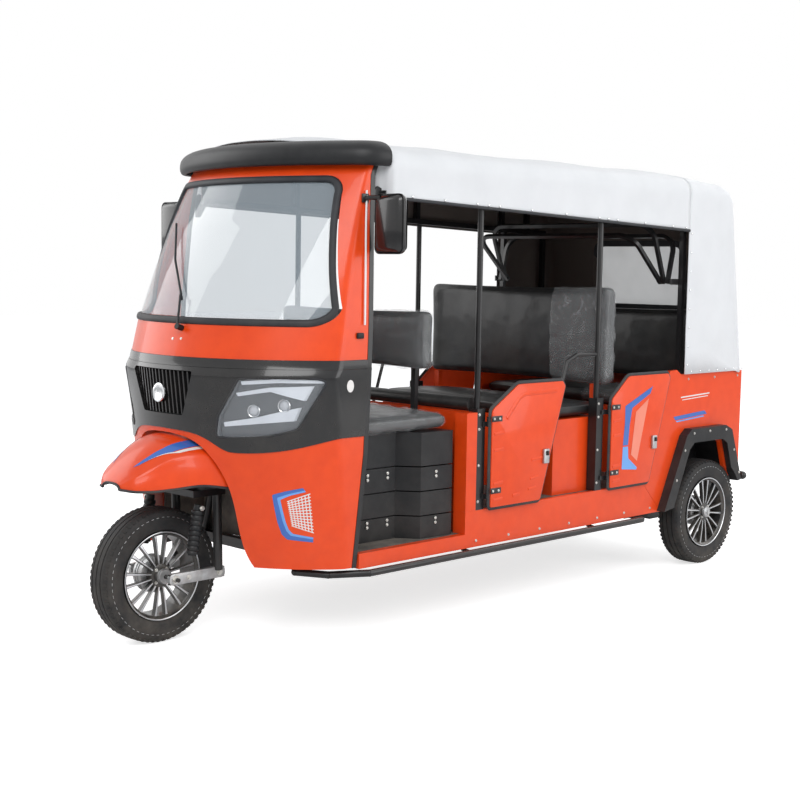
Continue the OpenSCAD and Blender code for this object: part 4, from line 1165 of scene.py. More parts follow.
def padMesh(name, p):
    # a crowned closed pad: rounded box whose faces belly out and whose sides pull in between its corners
    size = [p[k][1] - p[k][0] for k in "xyz"]
    mid = [(p[k][1] + p[k][0]) / 2 for k in "xyz"]
    r = p["round"]
    counts = [max(10, int(s / 16)) for s in size]
    bm = bmesh.new()
    grid = {}

    def vertex(i, j, k):
        key = (i, j, k)
        if key not in grid:
            q = []
            for a, c in enumerate((i, j, k)):
                t = c / counts[a]
                q.append((t - 0.5) * size[a])
            inner = [max(-s / 2 + r, min(s / 2 - r, v)) for v, s in zip(q, size)]
            d = Vector([v - w for v, w in zip(q, inner)])
            if d.length > 0:
                d = d.normalized() * min(r, d.length) if max(abs(v) for v in d) < r * 0.98 else d.normalized() * r
            pos = Vector(inner) + d
            u = [abs(v) / (s / 2) for v, s in zip(q, size)]
            main = "xyz".index(p["up"])
            others = [a for a in range(3) if a != main]
            belly = (1 - min(1, u[others[0]]) ** 2.6) * (1 - min(1, u[others[1]]) ** 2.2)
            side = 1 if q[main] > 0 else -1
            front = -1 if p["up"] == "y" else 1
            flatBack = 0.25 if side != front else 1.0
            pos[main] += side * (belly - 1) * p["crown"] * flatBack * min(1, abs(q[main]) / (size[main] / 2))
            for a in others:
                pull = 7 * (1 - min(1, u[[o for o in others if o != a][0]]) ** 2) * (u[a] ** 4)
                pos[a] -= math.copysign(pull, q[a])
            lump = noise.noise(Vector([(v + m) / 130 for v, m in zip(q,
                    mid)])) * 2.4 + noise.noise(Vector([(v + m) / 46 for v, m in zip(q, mid)])) * 1.1
            pos[main] += side * (lump - 2.4)
            grid[key] = bm.verts.new(at(*(v + m for v, m in zip(pos, mid))))
        return grid[key]

    nx, ny, nz = counts
    for j in range(ny):
        for i in range(nx):
            for k in (0, nz):
                bm.faces.new([vertex(i, j, k), vertex(i + 1, j, k), vertex(i + 1, j + 1, k), vertex(i, j + 1, k)])
    for k in range(nz):
        for i in range(nx):
            for j in (0, ny):
                bm.faces.new([vertex(i, j, k), vertex(i + 1, j, k), vertex(i + 1, j, k + 1), vertex(i, j, k + 1)])
        for j in range(ny):
            for i in (0, nx):
                bm.faces.new([vertex(i, j, k), vertex(i, j + 1, k), vertex(i, j + 1, k + 1), vertex(i, j, k + 1)])
    me = bpy.data.meshes.new(name)
    bmesh.ops.recalc_face_normals(bm, faces=bm.faces)
    bm.to_mesh(me)
    bm.free()
    o = bpy.data.objects.new(name, me)
    scene.collection.objects.link(o)
    me.materials.append(mat["seatLeather"])
    finishMesh(o)
    sub = o.modifiers.new("soft", "SUBSURF")
    sub.levels = sub.render_levels = 1
    bake(o)
    return o


for name, p in pads.items():
    pad = padMesh(name, p)
    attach(pad, "chassis")
    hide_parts(p["node"])

print("stage: repeated small parts")


def partsTree(name, kind):
    # small parts set on points; each point carries its own aim, along and size
    g = bpy.data.node_groups.new(name, "GeometryNodeTree")
    g.interface.new_socket("Geometry", in_out="INPUT", socket_type="NodeSocketGeometry")
    mSock = g.interface.new_socket("Material", in_out="INPUT", socket_type="NodeSocketMaterial")
    g.interface.new_socket("Geometry", in_out="OUTPUT", socket_type="NodeSocketGeometry")
    gi, go = g.nodes.new("NodeGroupInput"), g.nodes.new("NodeGroupOutput")
    inst = g.nodes.new("GeometryNodeInstanceOnPoints")
    turn = addNode(g, "FunctionNodeAxesToRotation", primary_axis="Z", secondary_axis="Y")
    for attr, sock in (("aim", turn.inputs[0]), ("along", turn.inputs[1]), ("size", inst.inputs["Scale"])):
        a = addNode(g, "GeometryNodeInputNamedAttribute", data_type="FLOAT_VECTOR")
        a.inputs["Name"].default_value = attr
        g.links.new(a.outputs[0], sock)
    if kind == "block":
        part = g.nodes.new("GeometryNodeMeshCube")
        part.inputs["Size"].default_value = (1, 1, 1)
        shape = part.outputs["Mesh"]
    elif kind == "stud":
        part = addNode(g, "GeometryNodeMeshUVSphere")
        part.inputs["Segments"].default_value = 12
        part.inputs["Rings"].default_value = 8
        part.inputs["Radius"].default_value = 0.5
        smooth = g.nodes.new("GeometryNodeSetShadeSmooth")
        g.links.new(part.outputs["Mesh"], smooth.inputs[0])
        shape = smooth.outputs[0]
    else:
        join = g.nodes.new("GeometryNodeJoinGeometry")
        for sides, radius, depth, z in ((16, 0.5, 0.22, 0.11), (6, 0.36, 0.5, 0.4)):
            c = g.nodes.new("GeometryNodeMeshCylinder")
            c.inputs["Vertices"].default_value = sides
            c.inputs["Radius"].default_value = radius
            c.inputs["Depth"].default_value = depth
            move = g.nodes.new("GeometryNodeTransform")
            move.inputs["Translation"].default_value = (0, 0, z)
            g.links.new(c.outputs["Mesh"], move.inputs[0])
            g.links.new(move.outputs[0], join.inputs[0])
        shape = join.outputs[0]
    real = g.nodes.new("GeometryNodeRealizeInstances")
    paint = g.nodes.new("GeometryNodeSetMaterial")
    g.links.new(gi.outputs["Geometry"], inst.inputs["Points"])
    g.links.new(shape, inst.inputs["Instance"])
    g.links.new(turn.outputs[0], inst.inputs["Rotation"])
    g.links.new(inst.outputs[0], real.inputs[0])
    g.links.new(real.outputs[0], paint.inputs[0])
    g.links.new(gi.outputs["Material"], paint.inputs["Material"])
    g.links.new(paint.outputs[0], go.inputs[0])
    return g, mSock.identifier


trees = {k: partsTree(k + "Parts", k) for k in ("block", "stud", "bolt")}


def setParts(name, kind, spots, look, body):
    # spots: place in mm, aim, along, size in mm
    me = bpy.data.meshes.new(name)
    me.from_pydata([tuple(at(*p)) for p, a, b, s in spots], [], [])
    for key, values in (("aim", [a for p, a, b, s in spots]), ("along", [b for p, a, b, s in spots]), ("size",
            [[v / 1000 for v in s] for p, a, b, s in spots])):
        attr = me.attributes.new(key, "FLOAT_VECTOR", "POINT")
        attr.data.foreach_set("vector", [c for v in values for c in v])
    o = bpy.data.objects.new(name, me)
    scene.collection.objects.link(o)
    m = o.modifiers.new("parts", "NODES")
    m.node_group, key = trees[kind]
    m[key] = mat[look]
    dg = bpy.context.evaluated_depsgraph_get()
    new = bpy.data.meshes.new_from_object(o.evaluated_get(dg))
    o.modifiers.clear()
    o.data = new
    if not new.materials:
        new.materials.append(mat[look])
    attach(o, body)
    return o


print("stage: wheels")
tyre = {"radius": 260, "rim": 171.5, "grooves": (-26, 0, 26), "lugs": 66, "dashes": 60}
rim = {"pairs": 8, "lip": 58, "face": 44}
tyreProfile = [(-45, 171.8), (-50, 174), (-53, 180), (-55.5, 192), (-57.6, 206), (-58.4, 216), (-57.6, 228), (-55,
        240), (-51, 249), (-46, 254.6), (-40, 257.6)]


def lathe(name, profile, mats, closed=True, steps=96, angle=32, picks=None):
    # a ring about the x axis through the origin, from places across and radii
    n = len(profile)
    verts = [(x / 1000, r / 1000 * math.sin(2 * math.pi * k / steps),
            r / 1000 * math.cos(2 * math.pi * k / steps)) for k in range(steps) for x, r in profile]
    faces, mi = [], []
    for k in range(steps):
        q = (k + 1) % steps
        for i in range(n if closed else n - 1):
            j = (i + 1) % n
            faces.append((k * n + i, k * n + j, q * n + j, q * n + i))
            mi.append(picks[i] if picks else 0)
    me = bpy.data.meshes.new(name)
    me.from_pydata(verts, [], faces)
    for m in mats:
        me.materials.append(m)
    me.polygons.foreach_set("material_index", mi)
    o = bpy.data.objects.new(name, me)
    scene.collection.objects.link(o)
    return finishMesh(o, angle)


def tyreSection():
    half = list(tyreProfile)
    crownRow = []
    for g in tyre["grooves"]:
        crownRow += [(g - 3, "top"), (g - 2.2, "low"), (g + 2.2, "low"), (g + 3, "top")]
    out = list(half)
    for x, kind in crownRow:
        out.append((x, 260 - (x / 44) ** 2 * 2.0 - (5.0 if kind == "low" else 0)))
    out += [(-x, r) for x, r in reversed(half)]
    out += [(40, 176), (-40, 176)]
    return out


def spokePiece():
    verts, faces, mi = [], [], []
    for p in range(rim["pairs"]):
        for s in (-1, 1):
            turn = 2 * math.pi * p / rim["pairs"]
            base = len(verts)
            stations = [(28, 6.5, 4.6, 43), (52, 10.5, 4.4, 46), (90, 16, 4.6, 47), (130, 21.5, 5.4, 46), (152, 25,
                    6.6, 45), (162, 26.5, 8.0, 43)]
            for r, t, w, top in stations:
                for dt, x in ((-w, 27), (-w, top - 2.2), (-w + 2, top), (w - 2, top), (w, top - 2.2), (w, 27)):
                    a, b = s * (t + dt), r
                    verts.append((x / 1000, (b * math.sin(turn) + a * math.cos(turn)) / 1000,
                            (b * math.cos(turn) - a * math.sin(turn)) / 1000))
            for k in range(len(stations) - 1):
                for i in range(6):
                    j = (i + 1) % 6
                    faces.append((base + k * 6 + i, base + k * 6 + j, base + (k + 1) * 6 + j, base + (k + 1) * 6 + i))
                    mi.append(1 if i == 2 else 0)
            for k in (0, len(stations) - 1):
                faces.append(tuple(base + k * 6 + i for i in range(6)))
                mi.append(0)
    me = bpy.data.meshes.new("spokes")
    me.from_pydata(verts, [], faces)
    me.materials.append(mat["rimBlack"])
    me.materials.append(mat["machinedAlloy"])
    me.polygons.foreach_set("material_index", mi)
    o = bpy.data.objects.new("spokes", me)
    scene.collection.objects.link(o)
    return finishMesh(o, 25)


rimSection = [(-52, 157), (-52, 171), (-47, 171.4), (-42, 163), (30, 163), (44, 166), (52, 171.2), (57.5, 171.3), (58,
        169.5), (56.5, 166.5), (48, 162), (44, 156), (30, 155.5), (-42, 155.5)]
rimPicks = [0, 0, 0, 0, 0, 0, 1, 1, 1, 0, 0, 0, 0, 0]
hubSection = [(14, 0.5), (14, 46), (18, 48), (40, 48), (45, 45), (46.5, 38), (46.5, 30), (50, 29), (52, 26), (52,
        0.5)]
drumSection = [(-46, 0.5), (-46, 66), (-42, 70), (-30, 71), (-29, 74), (-26, 74), (-25, 71), (-16, 71), (-15, 74),
        (-12, 74), (-11, 71), (12, 70), (15, 60), (15, 0.5)]


def placeWheel(o, x, y, side):
    for v in o.data.vertices:
        v.co.x *= side
    if side < 0:
        o.data.flip_normals()
    o.data.transform(Matrix.Translation(at(x, y, 260)))


wheels = (
    ("front", 0, 0, 1, "front_wheel", "front_tyre", "front_rim"),
    ("rearLeft", 558, 2870, 1, "rear_wheel_left", "rear_tyre_left", "rear_rim_left"),
    ("rearRight", -558, 2870, -1, "rear_wheel_right", "rear_tyre_right", "rear_rim_right"),
)
for name, x, y, side, body, tyreNode, rimNode in wheels:
    t = lathe(name + "Tyre", tyreSection(), [mat["tyreRubber"]])
    placeWheel(t, x, y, side)
    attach(t, body)
    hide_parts(tyreNode)
    pieces = [lathe("barrel", rimSection, [mat["rimBlack"], mat["machinedAlloy"]], picks=rimPicks), spokePiece(),
              lathe("hub", hubSection, [mat["rimBlack"]], closed=False, steps=48), lathe("drum", drumSection,
                      [mat["castSilver"]], closed=False, steps=64)]
    if name == "front":
        pieces.append(lathe("spacer", [(-76, 9), (-76, 29), (-70, 30), (-47, 30), (-47, 9)], [mat["castSilver"]],
                steps=40))
        pieces.append(lathe("spacer2", [(53, 9), (53, 26), (60, 30), (70, 30), (76, 27), (76, 9)],
                [mat["castSilver"]], steps=40))
    else:
        pieces.append(lathe("cap", [(50, 0.5), (50, 27), (60, 26), (65, 21), (66, 12), (70, 11), (70, 0.5)],
                [mat["castSilver"]], closed=False, steps=40))
    r = joinPieces(name + "Rim", pieces)
    placeWheel(r, x, y, side)
    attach(r, body)
    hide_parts(rimNode)
    spots, dashes, nuts = [], [], []
    for k in range(tyre["lugs"]):
        for s in (-1, 1):
            a = 2 * math.pi * (k + (0.5 if s > 0 else 0)) / tyre["lugs"]
            rad = Vector((0, math.sin(a), math.cos(a)))
            aim = (rad * 0.86 + Vector((s, 0, 0)) * 0.5).normalized()
            across = Vector((1, 0, 0)) - aim * aim.x
            spots.append(((x + s * 47.5, y + rad.y * 252.6, 260 + rad.z * 252.6), aim, across, (11, 17, 5)))
    setParts(name + "TreadLugs", "block", spots, "tyreRubber", body)
    for k in range(tyre["dashes"]):
        a = 2 * math.pi * k / tyre["dashes"]
        rad = Vector((0, math.sin(a), math.cos(a)))
        dashes.append(((x + side * 57.7, y + rad.y * 227, 260 + rad.z * 227), Vector((side, 0, 0)), rad, (11, 1.6,
                1.6)))
    setParts(name + "SidewallDashes", "block", dashes, "castSilver", body)
    for k in range(4):
        a = 2 * math.pi * (k + 0.5) / 4
        rad = Vector((0, math.sin(a), math.cos(a)))
        nuts.append(((x + side * 46, y + rad.y * 34, 260 + rad.z * 34), Vector((side, 0, 0)), rad, (14, 14, 11)))
    setParts(name + "WheelNuts", "bolt", nuts, "zincBolt", body)

print("stage: fork")
for side in (-1, 1):
    tag = "Left" if side > 0 else "Right"
    path, radii = [], []
    for i in range(121):
        t = i / 120
        path.append((side * 157, 62 + 30 * t, 347 + 191 * t))
        radii.append(20.5 + 3.6 * abs(math.sin(math.pi * 10 * t)) ** 0.7 if 0.04 < t < 0.9 else 17)
    o = sweep("shockBoot" + tag, path, radii, mat["mouldedBlack"], "fork_body", sides=24)
    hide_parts("shocks")
    arm = roundedPath([(-26, 238), (234, 238), (234, 282), (-26, 282)], 18)
    verts = [at(side * xx, yy, zz) for xx in (121, 139) for yy, zz in arm]
    n = len(arm)
    faces = [tuple(range(n)), tuple(range(n, 2 * n))] + [(i, (i + 1) % n, n + (i + 1) % n, n + i) for i in range(n)]
    o = solidOf("linkArm" + tag, verts, faces)
    o.data.materials.append(mat["castSilver"])
    b = o.modifiers.new("edge", "BEVEL")
    b.width = 0.002
    b.segments = 2
    bake(o)
    finishMesh(o, 35)
    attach(o, "fork_body")
x1 = Vector((1, 0, 0))
zUp = Vector((0, 0, 1))
forkBolts = [((s * 139, y, 260), x1 * s, zUp, (w, w, h)) for s in (-1, 1) for y, w, h in ((0, 32, 18), (206, 26, 14),
        (62, 20, 12))]
forkBolts += [((s * 181, 90, 528), x1 * s, zUp, (20, 20, 14)) for s in (-1, 1)]
setParts("forkNuts", "bolt", forkBolts, "zincBolt", "fork_body")

print("stage: lamps and grille")
lampBars = [  # upper edge and lower edge of each lit strip, x and z
    ([(364, 1020), (470, 1031), (588, 1030)], [(366, 1007), (470, 1017), (580, 1017)]),
    ([(344, 976), (450, 1000), (552, 1006)], [(350, 964), (450, 984), (532, 952)]),
    ([(292, 864), (400, 886), (520, 926)], [(294, 848), (400, 862), (505, 876)]),
]


def run(points, steps):
    # even points along an open run
    lens = [0]
    for a, b in zip(points, points[1:]):
        lens.append(lens[-1] + math.dist(a, b))
    out = []
    for i in range(steps + 1):
        d = lens[-1] * i / steps
        k = max(j for j in range(len(points) - 1) if lens[j] <= d + 1e-9)
        f = (d - lens[k]) / (lens[k + 1] - lens[k])
        out.append(tuple(p + (q - p) * f for p, q in zip(points[k], points[k + 1])))
    return out


def surfaceBand(name, upper, lower, off, look, body="chassis", thick=0.0, place=onCab, steps=24,
        across=6, side=1):
    a, b = run(upper, steps), run(lower, steps)
    rows = []
    for p, q in zip(a, b):
        line = [place(side * (p[0] + (q[0] - p[0]) * k / across), p[1] + (q[1] - p[1]) * k / across,
                off) for k in range(across + 1)]
        if thick:
            line += [place(side * (p[0] + (q[0] - p[0]) * k / across), p[1] + (q[1] - p[1]) * k / across,
                    off - thick) for k in range(across, -1, -1)]
        rows.append(line)
    o = gridMesh(name, rows, mat[look], closed=bool(thick))
    if thick:
        bm = bmesh.new()
        bm.from_mesh(o.data)
        bmesh.ops.holes_fill(bm, edges=[e for e in bm.edges if e.is_boundary])
        bm.to_mesh(o.data)
        bm.free()
        finishMesh(o, 40)
    else:
        finishMesh(o)
        c = o.data.polygons[len(o.data.polygons) // 2]
        if c.normal.dot(Vector((side * 0.5, -1, 0))) < 0:
            o.data.flip_normals()
    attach(o, body)
    return o


mat["lampGlow"] = finish("lampGlow", {"color": (0.72, 0.75, 0.80), "second": (0.60, 0.63, 0.68), "rough": 0.25,
        "coat": 0.4, "glow": (0.8, 0.88, 1.0), "glowPower": 0.12, "fineScale": 500, "fine": 0.6, "bump": 0.2})
for side in (-1, 1):
    tag = "Left" if side > 0 else "Right"
    shape = lampR if side > 0 else lampL
    for piece, outer, inner, look, slot, nodes in (("lampPocket", -20, -26, "lampBezel", "lamp_housing",
            ["headlamps"]), ("lampCover", 3.2, 1.4, "lampCover", "glass", [])):
        o = cabWall(piece, outer, inner, 790, 1045, 14)
        cut(o, [prism("c1", shape, -300, 800)], "INTERSECT")
        dressCab(o, piece + tag, mat[look], nodes)
    wall = [onCab(x, z, 3.5) for x, z in shape]
    deep = [onCab(x, z, -22) for x, z in shape]
    o = gridMesh("lampWall" + tag, [wall, deep], mat["lampBezel"], closed=True)
    finishMesh(o)
    th = o.modifiers.new("thickness", "SOLIDIFY")
    th.thickness = 0.003
    th.offset = 0
    bake(o)
    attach(o, "chassis")
    sweep("lampRing" + tag, [onCab(x, z, 3.0) for x, z in shape], 4.2, mat["sealRubber"], "chassis",
            closed=True, sides=8)
    for k, (upper, lower) in enumerate(lampBars):
        surfaceBand("lightBar%s%d" % (tag, k), upper, lower, -5, "lampGlow", thick=8, side=side)
    for k, (x, z) in enumerate(((391, 911), (478, 932))):
        p = Vector(onCab(side * x, z, -12))
        d = Vector((side * 0.53, -0.848, 0))
        for kind, prof, look in (("lensRing", [(-12, 24), (2, 25), (5, 23), (3, 20), (-12, 19)], "brightMetal"),
                ("lens", [(-8, 19.5), (-2, 19), (4, 16), (8, 11), (10, 6), (11, 0.4)], "lightBar")):
            o = lathe("%s%s%d" % (kind, tag, k), prof, [mat[look]], closed=kind == "lensRing", steps=40)
            o.data.transform(Matrix.Translation(at(*p)) @ x1.rotation_difference(d).to_matrix().to_4x4())
            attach(o, "chassis")

grilleBack = cabWall("grilleBack", -21, -30, 868, 1062, 10)
cut(grilleBack, [prism("g1", [(-198, 1058), (198, 1058), (130, 872), (-130, 872)], -300, 300)], "INTERSECT")
dressCab(grilleBack, "grilleBack", mat["mouldedBlack"], [])
slats = []
for i in range(17):
    x = -176 + 352 * i / 16
    low = 880 + max(0, (abs(x) - 124) / 66 * 170)
    mid = (low + 1050) / 2
    p = Vector(onCab(x, mid, -11))
    top, foot = Vector(onCab(x, 1048, -11)), Vector(onCab(x, low + 2, -11))
    aim = cabNormal(p)
    slats.append((tuple((top + foot) / 2), aim, (top - foot).normalized(), (7, (top - foot).length, 15)))
setParts("grilleSlats", "block", slats, "glossBlack", "chassis")
emblem = lathe("plainDisc", [(0, 0.4), (6, 0.6), (8, 14), (7, 26), (9, 30), (8, 36), (3, 38), (0, 37.5)],
        [mat["brightMetal"]], steps=56)
emblem.data.transform(Matrix.Translation(at(0, 26, 958)) @ x1.rotation_difference(Vector((0, -1,
        0.08))).to_matrix().to_4x4())
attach(emblem, "chassis")

print("stage: doors")


def roundedBox(name, mid, size, r, look, body, segments=3, turn=None):
    # a block with rounded edges, its middle and size in mm
    bm = bmesh.new()
    bmesh.ops.create_cube(bm, size=1)
    for v in bm.verts:
        v.co = Vector((v.co.x * size[0], v.co.y * size[1], v.co.z * size[2])) / 1000
    bmesh.ops.bevel(bm, geom=list(bm.edges), offset=r / 1000, segments=segments, profile=0.5, affect="EDGES")
    me = bpy.data.meshes.new(name)
    bm.to_mesh(me)
    bm.free()
    if turn:
        me.transform(turn)
    me.transform(Matrix.Translation(at(*mid)))
    me.materials.append(mat[look])
    o = bpy.data.objects.new(name, me)
    scene.collection.objects.link(o)
    finishMesh(o, 40)
    if body:
        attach(o, body)
    return o


def sidePrism(name, outline, x0, x1, look, bevel=0.0):
    # an outline of y and z between two distances from the centre line
    n = len(outline)
    verts = [at(x0, y, z) for y, z in outline] + [at(x1, y, z) for y, z in outline]
    faces = [tuple(range(n - 1, -1, -1)), tuple(range(n, 2 * n))] + [(i, (i + 1) % n, n + (i + 1) % n,
            n + i) for i in range(n)]
    o = solidOf(name, verts, faces)
    o.data.materials.append(mat[look])
    if bevel:
        b = o.modifiers.new("edge", "BEVEL")
        b.width = bevel / 1000
        b.segments = 2
        b.limit_method = "ANGLE"
        b.angle_limit = math.radians(50)
        bake(o)
    return finishMesh(o, 35)


def sideBand(name, side, x, first, second, look, body="chassis", steps=20):
    # a thin printed band on a flat side, between two runs of y and z
    a, b = run(first, steps), run(second, steps)
    verts = [at(side * x, *p) for p in a] + [at(side * x, *p) for p in b]
    n = steps + 1
    faces = [(i, i + 1, n + i + 1, n + i) for i in range(steps)]
    o = meshPiece(name, verts, faces, body, mat[look])
    if o.data.polygons[0].normal.x * side < 0:
        o.data.flip_normals()
    return o


doors = {
    "frontDoor": {"node": "front_door", "y": 1224, "topFront": 1400, "topRear": 1712, "lowRear": 1556, "mark": False},
    "rearDoor": {"node": "rear_door", "y": 2042, "topFront": 2180, "topRear": 2508, "lowRear": 2356, "mark": True},
}
for key, d in doors.items():
    for side in (-1, 1):
        tag = "Left" if side > 0 else "Right"
        node = d["node"] + "_" + tag.lower()
        body = node + "_body"
        y = d["y"]
        edge = [(y + 12, 462), (d["lowRear"], 462), (d["topRear"], 946), (d["topRear"] - 18, 968), (d["topFront"],
                968), (y + 12, 868)]
        outline = roundedPath(edge, [10, 16, 12, 10, 46, 30], 5)
        pieces = [sidePrism("panel", outline, side * 601, side * 623, "orangePaint", 3)]
        for z in (500, 800):
            pieces.append(sweep("knuckle", [(side * 612, y, z + 21.3), (side * 612, y, z + 40.7)], 7,
                    mat["blackTube"], None, sides=16))
            pieces.append(roundedBox("leaf", (side * 612, y + 9, z + 31), (5, 18, 18), 1, "blackTube", None, 1))
            pieces.append(roundedBox("strap", (side * 624, y + 40, z + 31), (3, 64, 24), 1.2, "blackTube", None,
                    2))
        top = d["topFront"]
        rails = [[(top - 74, 828), (top + 6, 912), (top + 40, 926), (d["topRear"] - 60,
                930)]] if not d["mark"] else []
        rails += [[(y + 26, z), (y + 84, z + 3)] for z in (768, 700, 560, 492)]
        rails += [] if d["mark"] else [[(y + 270, 640), (y + 340, 646)], [(y + 262, 560), (y + 318, 565)], [(y + 250,
                516), (y + 300, 520)], [(y + 150, 500), (y + 196, 503)]]
        for k, rail in enumerate(rails):
            pieces.append(sweep("pressed%d" % k, [(side * 622.5, a, b) for a, b in run(rail, 16)],
                    11 if k == 0 and not d["mark"] else 7, mat["orangePaint"], None, flatten=(0.4, 1)))
        o = joinPieces(key + tag, pieces)
        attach(o, body)
        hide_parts(node)
        sweep(key + "Trim" + tag, [(side * 612, a, b) for a, b in outline], 13.2, mat["sealRubber"], body,
                closed=True, sides=12, flatten=(1, 0.42))
        spots = [((side * 625, y + 40 + k, z + 31), x1 * side, zUp, (11, 11, 5)) for z in (500, 800) for k in (-18,
                16)]
        setParts(key + "Bolts" + tag, "bolt", spots, "zincBolt", body)
        ly = d["lowRear"] + (d["topRear"] - d["lowRear"]) * 0.38 - 34
        roundedBox(key + "Latch" + tag, (side * 629, ly, 650), (13, 34, 62), 3, "castSilver", body)
        roundedBox(key + "LatchKnob" + tag, (side * 638, ly, 664), (12, 12, 20), 3, "blackTube", body)
        if d["mark"]:
            sideBand("doorMarkBlue" + tag, side, 624, [(2364, 914), (2152, 832), (2152, 751), (2141, 650)], [(2344,
                    880), (2206, 820), (2190, 745), (2181, 650)], "decalBlue", body, steps=36)
            sideBand("doorMarkSky" + tag, side, 624, [(2141, 644), (2137, 541), (2252, 530)], [(2181, 644), (2186,
                    588), (2254, 541)], "decalSky", body, steps=30)
            sideBand("doorMarkRose" + tag, side, 624, [(2235, 800), (2334, 858)], [(2206, 604), (2254, 570)],
                    "decalRose", body)

print("stage: decals")
for side in (-1, 1):
    tag = "Left" if side > 0 else "Right"
    o1 = [(515, 625), (470, 612), (430, 597), (432, 545), (435, 494), (443, 446), (456, 426), (523, 416)]
    o2 = [(519, 616), (478, 602), (443, 586), (447, 540), (451, 494), (458, 458), (468, 441), (524, 428)]
    o3 = [(521, 610), (482, 596), (452, 579), (455, 538), (459, 494), (465, 464), (474, 449), (525, 435)]
    surfaceBand("cheekBlue" + tag, o1, o2, 0.9, "decalBlue", steps=40, across=2, side=side)
    surfaceBand("cheekSky" + tag, o2, o3, 0.9, "decalSky", steps=40, across=2, side=side)
    lines = []
    for k in range(13):
        t = k / 12
        a = (470 + 4 * t, 572 - 92 * t)
        b = (531 - 3 * t, 603 - 150 * t)
        lines.append(surfaceBand("hatch%d" % k, [(a[0], a[1] + 1.6), (b[0], b[1] + 2.0)], [(a[0], a[1] - 1.6), (b[0],
                b[1] - 2.0)], 1.0, "decalWhite", steps=8, across=1, side=side))
    for k in range(7):
        t = (k + 0.5) / 7
        a = (470 + 61 * t, 572 + 31 * t)
        b = (474 + 54 * t, 480 - 27 * t)
        lines.append(surfaceBand("cross%d" % k, [(a[0] - 1.2, a[1]), (b[0] - 1.2, b[1])], [(a[0] + 1.2, a[1]),
                (b[0] + 1.2, b[1])], 1.1, "decalWhite", steps=8, across=1, side=side))
    hatch = joinPieces("cheekHatch" + tag, lines)
    for label, first, second, look in (
            ("Blue", [(0.34, 0.30), (0.55, 0.36), (0.80, 0.30)], [(0.38, 0.37), (0.58, 0.50), (0.82, 0.44)],
                    "decalBlue"),
            ("White", [(0.42, 0.39), (0.60, 0.51), (0.84, 0.45)], [(0.46, 0.42), (0.62, 0.55), (0.86, 0.50)],
                    "decalWhite")):
        rows = [[onGuard(a[0] + (b[0] - a[0]) * k / 4, side * (a[1] + (b[1] - a[1]) * k / 4),
                1.4) for k in range(5)] for a, b in zip(run(first, 26), run(second, 26))]
        o = gridMesh("mudguardMark" + label + tag, rows, mat[look])
        if o.data.polygons[40].normal.z < 0:
            o.data.flip_normals()
        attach(o, "chassis")
    sideBand("quarterWhiteUpper" + tag, side, 595.7, [(2640, 846), (2889, 856)], [(2640, 840), (2889, 850)],
            "decalWhite")
    sideBand("quarterWhiteLower" + tag, side, 595.7, [(2652, 832), (2876, 842)], [(2652, 828), (2876, 838)],
            "decalWhite")
    sideBand("quarterBlue" + tag, side, 595.7, [(2583, 752), (2850, 768)], [(2600, 734), (2872, 750)], "decalBlue")
    sideBand("quarterSky" + tag, side, 595.7, [(2604, 730), (2840, 744)], [(2612, 724), (2850, 738)], "decalSky")
    ring = [(0.5 * 34 * math.cos(2 * math.pi * k / 36), 0.5 * 46 * math.sin(2 * math.pi * k / 36)) for k in range(36)]
    o = sidePrism("plainOval" + tag, [(452 + a, 1004 + b) for a, b in ring], side * 606.5, side * 608.2, "decalWhite")
    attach(o, "chassis")
    # a pale rod along the cab's rear edge: a painted highlight, a pale line put where that edge catches the light
    highlightPath = [(side * (cabLevel(z)[3] + 8), cabLevel(z)[5] - 26, z) for z in np.linspace(1230, 1730, 14)]
    sweep("sideRod" + tag, highlightPath, 4, mat["pale"], "chassis")
    roundedBox("sideMarker" + tag, (side * 606, 500, 1190), (12, 34, 22), 5, "mouldedBlack", "chassis")

print("stage: fittings")
spots = []
for side in (-1, 1):
    ax = x1 * side
    spots += [((side * 640, a, b), ax, zUp, (13, 13, 6)) for a, b in ((2562, 450), (2626, 590), (2700, 668), (2838,
            671), (2984, 668), (3064, 560), (3118, 440))]
    spots += [((side * 595, a, 328), ax, zUp, (12, 12, 6)) for a in range(1180, 2440, 205)]
    spots += [((side * 595, a, 930), ax, zUp, (12, 12, 6)) for a in (2700, 2930, 3140)]
    spots += [((side * 594.5, a, b), ax, zUp, (12, 12, 6)) for a in (1186, 1988) for b in (490, 640, 790, 850)]
    spots += [((side * 456, a, b), ax, zUp, (13, 13, 6)) for a in (690, 800) for b in (420, 438, 610, 628)]
    spots += [((side * 542, a, b), ax, zUp, (13, 13, 6)) for a in (990,) for b in (420, 438, 610, 628)]
for x, z in ((40, 1164), (86, 1166)):
    spots.append((onCab(x, z, 0), cabNormal(Vector(onCab(x, z, 0))), zUp, (11, 11, 5)))
setParts("bodyScrews", "bolt", spots, "zincBolt", "chassis")
studs = []
for side in (-1, 1):
    for y in (690, 760, 940, 1130, 1198, 1266, 1470, 1700, 1932, 2000, 2068, 2280, 2500, 2612):
        studs.append(((side * 612, y, hood["eave"] - y * math.tan(math.radians(hood["slope"])) + 15), x1 * side, zUp,
                (11, 11, 6)))
    for z in range(1000, 1720, 90):
        studs.append(((side * 611, 2664, z), x1 * side, zUp, (10, 10, 5)))
    for y in range(2700, 3160, 76):
        studs.append(((side * 611, y, 968), x1 * side, zUp, (10, 10, 5)))
setParts("hoodStuds", "stud", studs, "brightMetal", "chassis")

